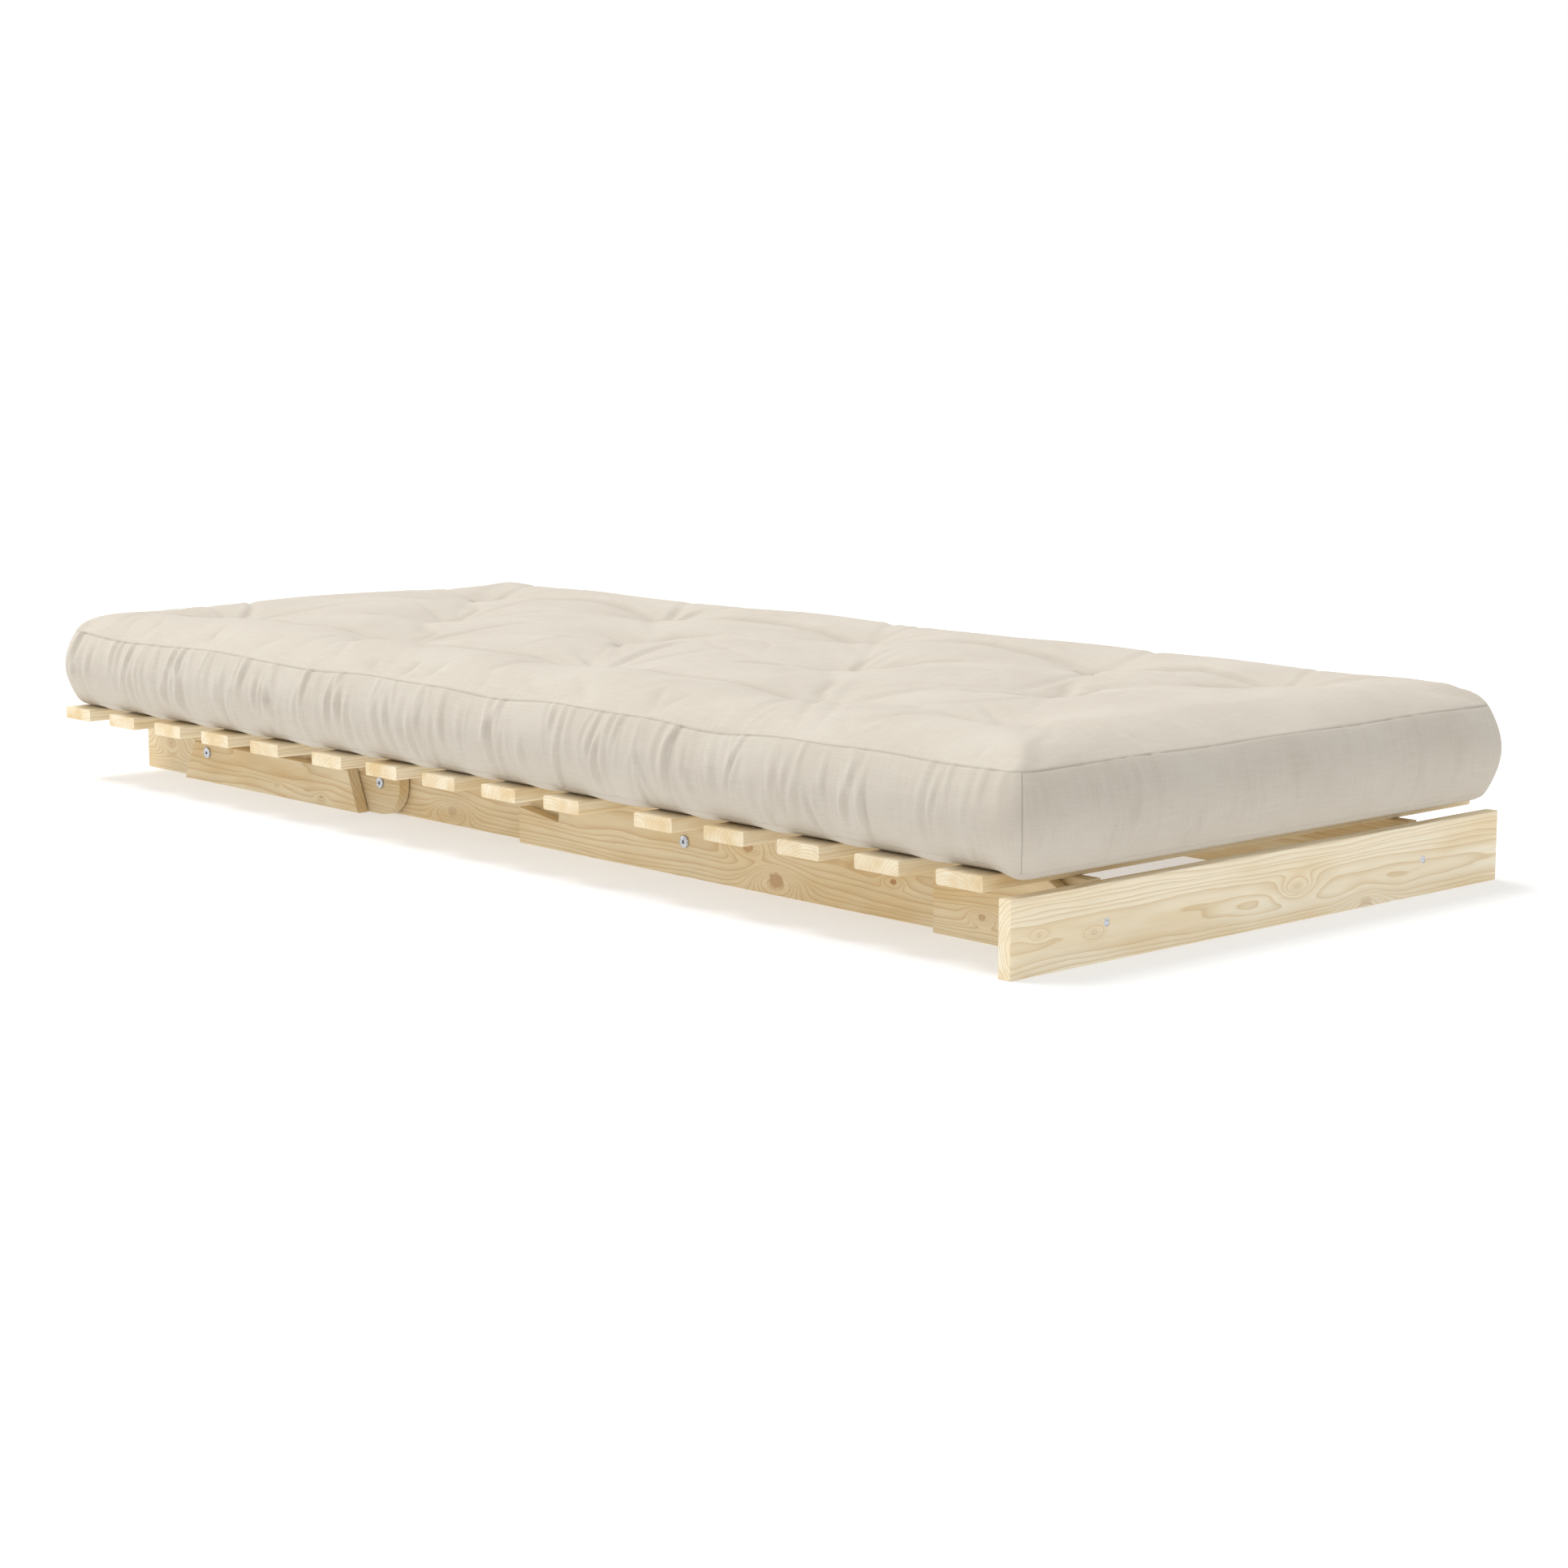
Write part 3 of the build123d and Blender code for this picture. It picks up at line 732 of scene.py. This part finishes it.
@dataclass
class Futon:
    """One cotton futon over all three sections, with a seam round its top and bottom and up its corners."""

    groups: Groups
    tufts: Tufts
    inset: float = 0.019         # from the futon's widest to its seams
    seam_height: float = 0.1165  # of the top seam over the futon's underside
    low_seam_height: float = 0.011
    crest_height: float = 0.1435
    corner_radius: float = 0.021
    edge_run: float = 0.07       # how far in the top is before it is level
    low_edge_run: float = 0.03
    cell_x: float = 0.011
    cell_y: float = 0.0065
    front_droop: float = 0.0085
    row_bow: float = 0.03        # how far a fold between two tufts of an outer row bends outwards
    row_fold_depth: float = 0.006
    valley_depth: float = 0.01
    tuft_depth: float = 0.013
    seed: int = 5
    finish: CottonFinish = CottonFinish()
    low: np.ndarray = field(init=False)
    high: np.ndarray = field(init=False)
    cut: float = field(init=False)

    def __post_init__(self) -> None:
        """Read the futon's box and the place where its two pieces meet from the frame."""
        boxes = [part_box(f"futon_cover_{section}") for section in ("seat", "middle", "head")]
        self.low = np.min([list(b[0]) for b in boxes], axis=0)
        self.high = np.max([list(b[1]) for b in boxes], axis=0)
        self.cut = (boxes[1][0].y + boxes[1][1].y) / 2

    # -- the grid --
    def spaced(self, start: float, end: float, cell: float, close_start: bool, close_end: bool) -> np.ndarray:
        """Grid lines from start to end, even but for a few close ones beside a seam."""
        near = np.array([0.0, 0.0015, 0.0045, 0.0105])
        a = start + near if close_start else np.array([start])
        b = end - near[::-1] if close_end else np.array([end])
        count = max(2, round((b[0] - a[-1]) / cell))
        return np.concatenate((a[:-1], np.linspace(a[-1], b[0], count + 1), b[1:]))

    def lattice(self) -> tuple[np.ndarray, np.ndarray, np.ndarray]:
        """The futon as a box covered with a grid.

        Returns:
            Vertex places on the box, faces as four vertex numbers, and each face's piece, 0 or 1.
        """
        half = self.high[0] - self.inset
        y0, y1 = self.low[1] + self.inset, self.high[1] - self.inset
        z0, z1 = self.low[2] + self.low_seam_height, self.low[2] + self.seam_height
        xs = self.spaced(-half, half, self.cell_x, True, True)
        near_ys = self.spaced(y0, self.cut, self.cell_y, True, False)
        ys = np.concatenate((near_ys, self.spaced(self.cut, y1, self.cell_y, False, True)[1:]))
        zs = self.spaced(z0, z1, self.cell_x, True, True)
        nx, ny, nz = len(xs) - 1, len(ys) - 1, len(zs) - 1
        plates = []
        for axis, at, outward in ((2, nz, 1), (2, 0, -1), (0, nx, 1), (0, 0, -1), (1, ny, -1), (1, 0, 1)):
            others = [n for n in range(3) if n != axis]
            sizes = [(nx, ny, nz)[n] for n in others]
            a, b = np.meshgrid(np.arange(sizes[0]), np.arange(sizes[1]), indexing="ij")
            corners = []
            for da, db in ((0, 0), (1, 0), (1, 1), (0, 1)):
                key = np.zeros((a.size, 3), int)
                key[:, axis] = at
                key[:, others[0]] = a.ravel() + da
                key[:, others[1]] = b.ravel() + db
                corners.append(key)
            if outward < 0:
                corners.reverse()
            plates.append(np.stack(corners, axis=1))
        quads = np.concatenate(plates)
        keys, numbers = np.unique(quads.reshape(-1, 3), axis=0, return_inverse=True)
        places = np.column_stack((xs[keys[:, 0]], ys[keys[:, 1]], zs[keys[:, 2]]))
        piece = (quads[:, :, 1].mean(axis=1) > len(near_ys) - 1).astype(int)
        return places, numbers.reshape(-1, 4), piece

    # -- the shape --
    def plan(self, places: np.ndarray) -> tuple[np.ndarray, np.ndarray]:
        """Round the plan's corners.

        A point within the corner radius of two sides keeps its distance from the corner's centre as
        the larger of its two offsets, but points the way of both.

        Returns:
            The rounded X and Y, and the outward direction in plan.
        """
        middle = np.array([0.0, (self.low[1] + self.high[1]) / 2])
        half = np.array([self.high[0], (self.high[1] - self.low[1]) / 2]) - self.inset
        flat = places[:, :2] - middle
        core = np.clip(flat, -(half - self.corner_radius), half - self.corner_radius)
        off = flat - core
        size = np.abs(off).max(axis=1, keepdims=True)
        way = off / np.maximum(np.linalg.norm(off, axis=1, keepdims=True), 1e-9)
        return middle + core + way * size, way

    def edge_distance(self, places: np.ndarray) -> np.ndarray:
        """How far in a point on the box is from the nearest seam line in plan."""
        x = self.high[0] - self.inset - np.abs(places[:, 0])
        y = np.minimum(places[:, 1] - self.low[1], self.high[1] - places[:, 1]) - self.inset
        return np.minimum(x, y)

    def valley(self, x: np.ndarray, y: np.ndarray) -> np.ndarray:
        """How much the top sinks: a bell across each line between tufts, and a deeper one at each tuft."""
        sink = np.zeros_like(x)
        for x0, y0, x1, y1 in self.tufts.valleys():
            dx, dy = x1 - x0, y1 - y0
            span = math.hypot(dx, dy)
            t = np.clip(((x - x0) * dx + (y - y0) * dy) / span**2, 0, 1)
            away = np.hypot(x - x0 - t * dx, y - y0 - t * dy)
            depth = self.valley_depth * (0.55 + 0.45 * (2 * t - 1) ** 2)
            sink = np.maximum(sink, depth * np.exp(-((away / 0.06) ** 2)))
        for x0, y0 in self.tufts.places():
            away = np.hypot(x - x0, y - y0)
            sink = sink + self.tuft_depth * np.exp(-((away / 0.032) ** 1.5))
        return sink

    def creases(self, x: np.ndarray, y: np.ndarray) -> np.ndarray:
        """Narrow folds that leave each tuft: a step across a curved ray, which swells and then dies out."""
        rng = np.random.default_rng(self.seed)
        rise = np.zeros_like(x)
        for x0, y0 in self.tufts.places():
            dx, dy = x - x0, y - y0
            away = np.hypot(dx, dy)
            close = away < 0.32
            angle = np.arctan2(dy[close], dx[close])
            r = away[close]
            total = np.zeros_like(r)
            for _ in range(8):
                heading = rng.choice([0.5, 1.57, 2.64, 3.64, 4.71, 5.78]) + rng.normal(0, 0.3)
                curl = rng.normal(0, 1.6)
                reach = rng.uniform(0.07, 0.22)
                depth = rng.uniform(0.002, 0.006)
                width = rng.uniform(0.007, 0.014)
                turn = np.angle(np.exp(1j * (angle - heading - curl * r)))
                across = np.sin(turn) * r / width
                along = np.where(np.cos(turn) > 0, (r / reach) ** 0.6 * np.exp(-((r / reach) ** 2.2)), 0.0)
                total += depth * along * (across * np.exp(-(across**2)) * 1.6 - np.exp(-(across**2)))
            rise[close] += total
        return rise

    def folds(self) -> list["Fold"]:
        """The long folds between tufts, a pinch at every tuft and the puckers beside both long seams."""
        rng = np.random.default_rng(self.seed + 2)
        front, side = self.low[1] + self.inset, self.high[0] - self.inset
        made = []
        for x0, y0, x1, y1 in self.tufts.valleys():
            in_row = x0 == x1
            share = 1.0 if in_row else rng.uniform(0.3, 0.5)
            ends = (0, 1) if in_row else rng.permutation(2)
            a, b = np.array([(x0, y0), (x1, y1)])[list(ends)]
            b = a + (b - a) * share
            bow = math.copysign(self.row_bow, x0) if in_row else rng.uniform(-0.035, 0.035)
            middle = (a + b) / 2 + bow * np.array([(b - a)[1], -(b - a)[0]]) / np.linalg.norm(b - a)
            depth = self.row_fold_depth if in_row else rng.uniform(0.003, 0.006)
            width = rng.uniform(0.008, 0.014)
            made.append(Fold([tuple(a), tuple(middle), tuple(b)], depth, width))
        for x, y in self.tufts.places():
            heading = rng.normal(-0.75, 0.25)
            step = rng.uniform(0.024, 0.04) * np.array([math.cos(heading), math.sin(heading)])
            made.append(Fold([(x - step[0], y - step[1]), (x, y), (x + step[0], y + step[1])], 0.009, 0.008))
        for _ in range(46):
            sign, y = rng.choice([-1, 1]), rng.uniform(front + 0.02, self.high[1] - 0.05)
            reach = rng.uniform(0.025, 0.06)
            lean = rng.normal(0, 0.02)
            runs = ((0.004, 0.0), (0.5 * reach, lean), (reach, 2 * lean))
            line = [(sign * (side - inside), y + along) for inside, along in runs]
            made.append(Fold(line, rng.uniform(0.0008, 0.0026), rng.uniform(0.006, 0.01)))
        return made

    def seam_dip(self, places: np.ndarray) -> np.ndarray:
        """How far the top seam sinks beside each outer tuft, with a slow unevenness."""
        x, y = places[:, 0], places[:, 1]
        dip = np.zeros_like(y)
        for at in self.tufts.outer()[1:]:
            dip += 0.0065 * np.exp(-(((y - at) / 0.1) ** 2))
        wave = 0.0009 * np.sin(31.0 * y + 1.3) + 0.0008 * np.sin(23.0 * x + 11.0 * y)
        return dip - wave

    def shape(self, places: np.ndarray) -> np.ndarray:
        """The futon's calm shape.

        The sides bulge between their seams by one minus a power of the distance from mid-height. The
        top climbs inwards from its seam as one minus a power of what is left of its edge, to a crest
        that sinks at the tufts, and the underside does the same downwards.
        """
        low_seam = self.low[2] + self.low_seam_height
        top_seam = self.low[2] + self.seam_height
        t = np.clip((places[:, 2] - low_seam) / (top_seam - low_seam), 0, 1)
        flat, way = self.plan(places)
        inward = self.edge_distance(places)
        on_side = inward < 1e-6
        bulge = np.where(on_side, self.inset * (1 - np.abs(2 * t - 1) ** 1.8), 0.0)
        flat = flat + way * bulge[:, None]
        dip = self.seam_dip(places)
        front = np.clip((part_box("seat_slat_1")[0].y - places[:, 1]) / 0.035, 0, 1)
        low_seam = low_seam - (self.front_droop - 0.002) * front**2 * (3 - 2 * front)
        z = low_seam + t * (top_seam - low_seam - dip)
        x, y = places[:, 0], places[:, 1]
        on_top = (t > 1 - 1e-6) & ~on_side
        share = np.clip(inward / self.edge_run, 0, 1)
        climb = 1 - (1 - share) ** 4
        lumps = 0.002 * np.sin(13 * x + 2) * np.sin(9 * y) + 0.0012 * np.sin(29 * x) * np.sin(23 * y + 1)
        crest = self.low[2] + self.crest_height - self.valley(x, y) + lumps
        z = np.where(on_top, (top_seam - dip) + (crest - top_seam + dip) * climb, z)
        on_bottom = (t < 1e-6) & ~on_side
        low_share = np.clip(inward / self.low_edge_run, 0, 1)
        sag = self.underside(y)
        drop = 1 - (1 - low_share) ** 3.5
        z = np.where(on_bottom, low_seam + (sag - low_seam) * drop, z)
        return np.column_stack((flat, z))

    def underside(self, y: np.ndarray) -> np.ndarray:
        """The height of the underside: just over the slats, lower in the gaps between them."""
        gap = np.full_like(y, 1.0)
        for section in ("seat", "middle", "head"):
            for number in range(1, 6):
                low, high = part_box(f"{section}_slat_{number}")
                outside = np.maximum(np.maximum(low.y - y, y - high.y), 0.0)
                gap = np.minimum(gap, outside)
        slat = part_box("seat_slat_1")
        droop = np.where(y < slat[0].y, self.front_droop, 0.0035)
        return slat[1].z + 0.0008 - droop * (1 - np.exp(-gap / 0.02))

    # -- the folds that sewing leaves --
    def side_folds(self, places: np.ndarray) -> np.ndarray:
        """How far the sides stand out in gathers.

        Each gather is a ridge beside a groove: a Gaussian's slope across it, faded towards its ends.
        """
        rng = np.random.default_rng(self.seed + 1)
        half = self.high[0] - self.inset
        low_seam = self.low[2] + self.low_seam_height
        t = np.clip((places[:, 2] - low_seam) / (self.seam_height - self.low_seam_height), 0, 1)
        out = np.zeros(len(places))
        y0, y1 = self.low[1] + self.inset, self.high[1] - self.inset
        walls = (
            (np.abs(places[:, 0] + half) < 1e-5, 1, y0, y1, 210, 1.0),
            (np.abs(places[:, 0] - half) < 1e-5, 1, y0, y1, 210, 1.0),
            (np.abs(places[:, 1] - y0) < 1e-5, 0, -half, half, 30, 0.9),
            (np.abs(places[:, 1] - y1) < 1e-5, 0, -half, half, 50, 0.7),
        )
        for wall, axis, start, end, count, strength in walls:
            s, high = places[wall, axis], t[wall]
            total = np.zeros_like(s)
            edge = np.clip(np.minimum(s - start, end - s) / 0.03, 0, 1)
            for _ in range(count):
                at = rng.uniform(start + 0.02, end - 0.02)
                width = rng.uniform(0.004, 0.0085)
                middle = rng.choice([0.86, 0.6, 0.35, 0.2], p=[0.35, 0.25, 0.25, 0.15])
                reach = rng.uniform(0.16, 0.42)
                slant = rng.normal(0, 0.02)
                depth = rng.uniform(0.0007, 0.0025) * strength * rng.choice([1.0, 1.7], p=[0.8, 0.2])
                across = (s - at - slant * (high - middle)) / width
                fade = np.exp(-(((high - middle) / reach) ** 2))
                total += depth * fade * (across * 1.5 + 0.35) * np.exp(-(across**2))
            out[wall] = total * edge
        return out

    def seam_mask(self, places: np.ndarray) -> np.ndarray:
        """1 on every seam, fading over a millimetre or two."""
        half = self.high[0] - self.inset
        y0, y1 = self.low[1] + self.inset, self.high[1] - self.inset
        to_x = np.abs(np.abs(places[:, 0]) - half)
        to_y = np.minimum(np.abs(places[:, 1] - y0), np.abs(places[:, 1] - y1))
        to_top = np.abs(places[:, 2] - self.low[2] - self.seam_height)
        to_low = np.abs(places[:, 2] - self.low[2] - self.low_seam_height)
        to_side = np.minimum(to_x, to_y)
        rim = np.maximum(to_side, np.minimum(to_top, to_low))
        post = np.maximum(to_x, to_y)
        low = np.where(to_low < to_top, 0.4, 1.0)
        return np.maximum(low * np.exp(-((rim / 0.0007) ** 2)), np.exp(-((post / 0.0007) ** 2)))

    def cloth_map(self, places: np.ndarray, faces: np.ndarray) -> np.ndarray:
        """Each face corner's place on the cloth.

        It is X and Y on the top and underside, and the run along the seam and the height on the sides.
        """
        corners = places[faces]
        spread = np.ptp(corners, axis=1)
        uv = corners[:, :, :2].copy()
        upright_x = spread[:, 0] < 1e-6
        upright_y = spread[:, 1] < 1e-6
        uv[upright_x] = corners[upright_x][:, :, [1, 2]]
        uv[upright_y] = corners[upright_y][:, :, [0, 2]]
        return uv.reshape(-1, 2)

    # -- cloth simulation --
    def simulate(self, mesh_object: bpy.types.Object, places: np.ndarray, calm: np.ndarray) -> np.ndarray:
        """Blow the cover up a little with Blender's cloth, held at its seams, tufts and underside.

        Args:
            mesh_object: The cover in its calm shape.
            places: The vertices' places on the box.
            calm: Their calm places.

        Returns:
            The vertices' new places, none further than the cap from its calm one.
        """
        inward = self.edge_distance(places)
        top = places[:, 2] > self.low[2] + self.seam_height - 1e-6
        bottom = places[:, 2] < self.low[2] + self.low_seam_height + 1e-6
        to_tuft = np.min(
            [np.hypot(places[:, 0] - x, places[:, 1] - y) for x, y in self.tufts.places()], axis=0
        )
        held = bottom | (top & (inward < 1e-6)) | (top & (to_tuft < 0.012))
        slack = np.where(inward < 1e-6, 1.0, np.where(top, 0.45, 0.0))
        pins = mesh_object.vertex_groups.new(name="held")
        pins.add(np.flatnonzero(held).tolist(), 1.0, "REPLACE")
        loose = mesh_object.vertex_groups.new(name="slack")
        for value in (1.0, 0.45):
            loose.add(np.flatnonzero(slack == value).tolist(), value, "REPLACE")
        cloth = mesh_object.modifiers.new("cloth", "CLOTH")
        settings = cloth.settings
        settings.quality = 5
        settings.mass = 0.05
        settings.air_damping = 3.0
        settings.tension_stiffness = 12.0
        settings.compression_stiffness = 12.0
        settings.shear_stiffness = 6.0
        settings.bending_stiffness = 0.4
        settings.use_pressure = True
        settings.uniform_pressure_force = 3.0
        settings.vertex_group_mass = "held"
        settings.vertex_group_shrink = "slack"
        settings.shrink_min = 0.0
        settings.shrink_max = -0.045
        settings.effector_weights.gravity = 0.0
        cloth.collision_settings.use_collision = False
        cloth.point_cache.frame_start = 1
        cloth.point_cache.frame_end = 16
        scene = bpy.context.scene
        for number in range(1, 17):
            scene.frame_set(number)
        shaped = mesh_object.evaluated_get(bpy.context.evaluated_depsgraph_get())
        moved = np.empty(len(places) * 3, np.float32)
        shaped.data.vertices.foreach_get("co", moved)
        mesh_object.modifiers.remove(cloth)
        scene.frame_set(1)
        shift = moved.reshape(-1, 3).astype(float) - calm
        size = np.linalg.norm(shift, axis=1, keepdims=True)
        log.info("cloth moved %.1f mm at most, %.1f mm on average", size.max() * 1e3, size.mean() * 1e3)
        cap = 0.008
        return calm + shift * np.minimum(1.0, cap / np.maximum(size, 1e-9))

    # -- putting it together --
    def build(self) -> list[bpy.types.Object]:
        """Make the futon as two pieces that meet in the middle of the middle section."""
        places, faces, piece = self.lattice()
        calm = self.shape(places)
        work = new_mesh("futon_work", calm, faces)
        store(work.data, "box", places)
        uv = work.data.uv_layers.new(name="cloth")
        uv.data.foreach_set("uv", self.cloth_map(places, faces).astype(np.float32).ravel())
        part = work.data.attributes.new("part", "INT", "FACE")
        part.data.foreach_set("value", piece.astype(np.int32))
        settled = self.simulate(work, places, calm)
        work.data.vertices.foreach_set("co", settled.astype(np.float32).ravel())
        work.data.update()
        fine = self.refine(work)
        pieces = self.split(fine)
        bpy.data.objects.remove(work)
        return pieces

    def refine(self, work: bpy.types.Object) -> bpy.types.Mesh:
        """Subdivide once, then add creases, gathers and the sewn groove along each seam, with the seam mask and
        a mask of painted shade for the creases and gathers.
        """
        subdivision = work.modifiers.new("finer", "SUBSURF")
        subdivision.levels = 1
        subdivision.render_levels = 1
        shaped = work.evaluated_get(bpy.context.evaluated_depsgraph_get())
        mesh = bpy.data.meshes.new_from_object(shaped)
        count = len(mesh.vertices)
        co = read(mesh.vertices, "co", count)
        places = read(mesh.attributes["box"].data, "vector", count)
        normals = read(mesh.vertices, "normal", count)
        top = places[:, 2] > self.low[2] + self.seam_height - 1e-4
        crease = np.zeros(count)
        inward = self.edge_distance(places)
        crease[top] = self.creases(places[top, 0], places[top, 1]) * np.clip(inward[top] / 0.05, 0, 1)
        pressed = sum(fold.rise(places[top, 0], places[top, 1]) for fold in self.folds())
        crease[top] += pressed
        crease *= np.clip(inward / 0.008, 0, 1)
        gathers = self.side_folds(places)
        # Painted shade mask: up to one half in the grooves of the gathers, and up to one in the pressed folds
        # and tuft pinches on top, to darken the cloth where shade falls.
        painted_crease_shade = np.clip(-gathers / 0.006, 0, 0.5)
        painted_crease_shade[top] = np.clip(-pressed / 0.008, 0, 1) * np.clip(inward[top] / 0.008, 0, 1)
        seam = self.seam_mask(places)
        lift = crease + gathers - 0.0007 * seam
        co += normals * lift[:, None]
        mesh.vertices.foreach_set("co", co.astype(np.float32).ravel())
        for name, values in (("seam", seam), ("painted_crease_shade", painted_crease_shade)):
            mask = mesh.attributes.new(name, "FLOAT", "POINT")
            mask.data.foreach_set("value", values.astype(np.float32))
        mesh.update()
        return mesh

    def split(self, mesh: bpy.types.Mesh) -> list[bpy.types.Object]:
        """Part the fine mesh by its faces' piece numbers and keep the whole one's normals at the join."""
        count, faces = len(mesh.vertices), len(mesh.polygons)
        co = read(mesh.vertices, "co", count)
        normals = read(mesh.vertices, "normal", count)
        masks = {name: np.empty(count, np.float32) for name in ("seam", "painted_crease_shade")}
        for name, values in masks.items():
            mesh.attributes[name].data.foreach_get("value", values)
        corners = np.empty(faces * 4, np.int32)
        mesh.loops.foreach_get("vertex_index", corners)
        corners = corners.reshape(-1, 4)
        uv = np.empty(faces * 8, np.float32)
        mesh.uv_layers["cloth"].data.foreach_get("uv", uv)
        uv = uv.reshape(-1, 8)
        part = np.empty(faces, np.int32)
        mesh.attributes["part"].data.foreach_get("value", part)
        material = self.finish.build("futon_cotton", self.groups)
        made = []
        for number, name in enumerate(("futon_foot_half", "futon_head_half")):
            mine = part == number
            used, local = np.unique(corners[mine], return_inverse=True)
            piece = new_mesh(name, co[used], local.reshape(-1, 4))
            piece.data.uv_layers.new(name="cloth").data.foreach_set("uv", uv[mine].ravel())
            for mask, values in masks.items():
                piece.data.attributes.new(mask, "FLOAT", "POINT").data.foreach_set("value", values[used])
            piece.data.polygons.foreach_set("use_smooth", np.ones(int(mine.sum()), bool))
            piece.data.normals_split_custom_set_from_vertices(normals[used].tolist())
            piece.data.materials.append(material)
            made.append(piece)
            log.info("%s: %d faces", name, len(piece.data.polygons))
        return made


def read(items: bpy.types.bpy_prop_collection, name: str, count: int) -> np.ndarray:
    """Read a three-number property of every item as rows."""
    values = np.empty(count * 3, np.float32)
    items.foreach_get(name, values)
    return values.reshape(-1, 3).astype(float)


def store(mesh: bpy.types.Mesh, name: str, rows: np.ndarray) -> None:
    """Keep a vector for each vertex as a named attribute."""
    attribute = mesh.attributes.new(name, "FLOAT_VECTOR", "POINT")
    attribute.data.foreach_set("vector", rows.astype(np.float32).ravel())


def new_mesh(name: str, places: np.ndarray, faces: np.ndarray) -> bpy.types.Object:
    """A mesh object in the scene from vertex places and four-cornered faces."""
    mesh = bpy.data.meshes.new(name)
    mesh.from_pydata(places.tolist(), [], faces.tolist())
    mesh.update()
    made = bpy.data.objects.new(name, mesh)
    bpy.context.scene.collection.objects.link(made)
    return made


@dataclass
class FutonFolding:
    """The futon's two halves, shown instead of the futon's CAD nodes."""

    seat_reach: float = 0.23
    head_reach: float = 0.18

    def attach(self, pieces: list[bpy.types.Object]) -> None:
        """Bake each half's transform, and hide the futon's CAD nodes so that the two halves stand for them."""
        foot, head = pieces
        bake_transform(foot)
        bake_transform(head)
        for kind in ("cover", "filling", "ties"):
            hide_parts(f"futon_{kind}_seat", f"futon_{kind}_middle")
            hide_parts(f"futon_{kind}_head", f"futon_{kind}_middle")


# ---- the studio -------------------------------------------------------------------------------------
@dataclass
class Studio:
    """A pale floor, soft light and the camera."""

    camera_place: Place = (-2.8407, -3.2669, 0.7230)
    azimuth: float = 42.4        # from +Y towards +X, degrees
    downward: float = 8.77       # degrees
    lens: float = 70.84
    floor_half: float = 14.0
    ambient: float = 0.64
    sun_strength: float = 2.2
    sun_from: Place = (-0.07, 0.38, 0.92)

    def build(self) -> None:
        """Add the floor, the world's light, the lamps and the camera."""
        self.floor()
        self.world()
        self.sun()
        self.lamp("left", (-2.6, 1.7, 1.3), (0.0, 0.9, 0.15), 1.4, 10.0)
        data = bpy.data.cameras.new("camera")
        data.lens = self.lens
        data.sensor_width = 36.0
        data.clip_end = 60.0
        camera = bpy.data.objects.new("camera", data)
        camera.location = self.camera_place
        camera.rotation_euler = (math.radians(90 - self.downward), 0.0, -math.radians(self.azimuth))
        bpy.context.scene.collection.objects.link(camera)
        bpy.context.scene.camera = camera
        bpy.context.scene.view_settings.view_transform = "Standard"

    def floor(self) -> None:
        """A large plain floor."""
        h = self.floor_half
        corners = np.array([(-h, -h, 0.0), (h, -h, 0.0), (h, h, 0.0), (-h, h, 0.0)])
        floor = new_mesh("floor", corners, np.array([[0, 1, 2, 3]]))
        material, _, shader = new_material("floor")
        shader.inputs["Base Color"].default_value = (0.6, 0.6, 0.6, 1.0)
        shader.inputs["Emission Color"].default_value = (1.0, 1.0, 1.0, 1.0)
        shader.inputs["Emission Strength"].default_value = 0.45
        shader.inputs["Roughness"].default_value = 0.9
        shader.inputs["Specular IOR Level"].default_value = 0.1
        floor.data.materials.append(material)

    def world(self) -> None:
        """A white surround that lights less than it shows."""
        world = bpy.data.worlds.new("studio")
        world.use_nodes = True
        graph = Graph(world.node_tree)
        seen = graph.add("LightPath").outputs["Is Camera Ray"]
        background = world.node_tree.nodes["Background"]
        background.inputs["Color"].default_value = (1.0, 1.0, 1.0, 1.0)
        strength = graph.math("MULTIPLY_ADD", seen, 1.0 - self.ambient, self.ambient)
        graph.feed(background.inputs["Strength"], strength)
        bpy.context.scene.world = world

    def sun(self) -> None:
        """A wide soft light from high up on the left, behind the bed."""
        data = bpy.data.lights.new("soft_sun", "SUN")
        data.energy = self.sun_strength
        data.angle = math.radians(28)
        self.place_light("soft_sun", data, self.sun_from, (0.0, 0.0, 0.0))

    def lamp(self, name: str, place: Place, target: Place, size: float, power: float) -> None:
        """A square area lamp at a place, turned to a target."""
        data = bpy.data.lights.new(name, "AREA")
        data.size = size
        data.energy = power
        self.place_light(name, data, place, target)

    def place_light(self, name: str, data: bpy.types.Light, place: Place, target: Place) -> None:
        """Put a light in the scene at a place, shining at a target."""
        lamp = bpy.data.objects.new(name, data)
        lamp.location = place
        away = np.array(place) - np.array(target)
        pan = math.atan2(away[0], -away[1])
        tilt = math.atan2(math.hypot(away[0], away[1]), away[2])
        lamp.rotation_euler = (tilt, 0.0, pan)
        bpy.context.scene.collection.objects.link(lamp)


def main() -> None:
    """Dress the frame, make the futon, and build the studio round them."""
    logging.basicConfig(level=logging.INFO, format="%(message)s")
    groups = Groups(grain=pine_grain_group(), knot=pine_knot_group(), weave=plain_weave_group())
    PineFrame(groups).dress()
    Fittings().dress()
    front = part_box("cross_board")[0].y
    halves = Futon(groups, Tufts(front)).build()
    FutonFolding().attach(halves)
    Studio().build()


if __name__ == "__main__":
    main()
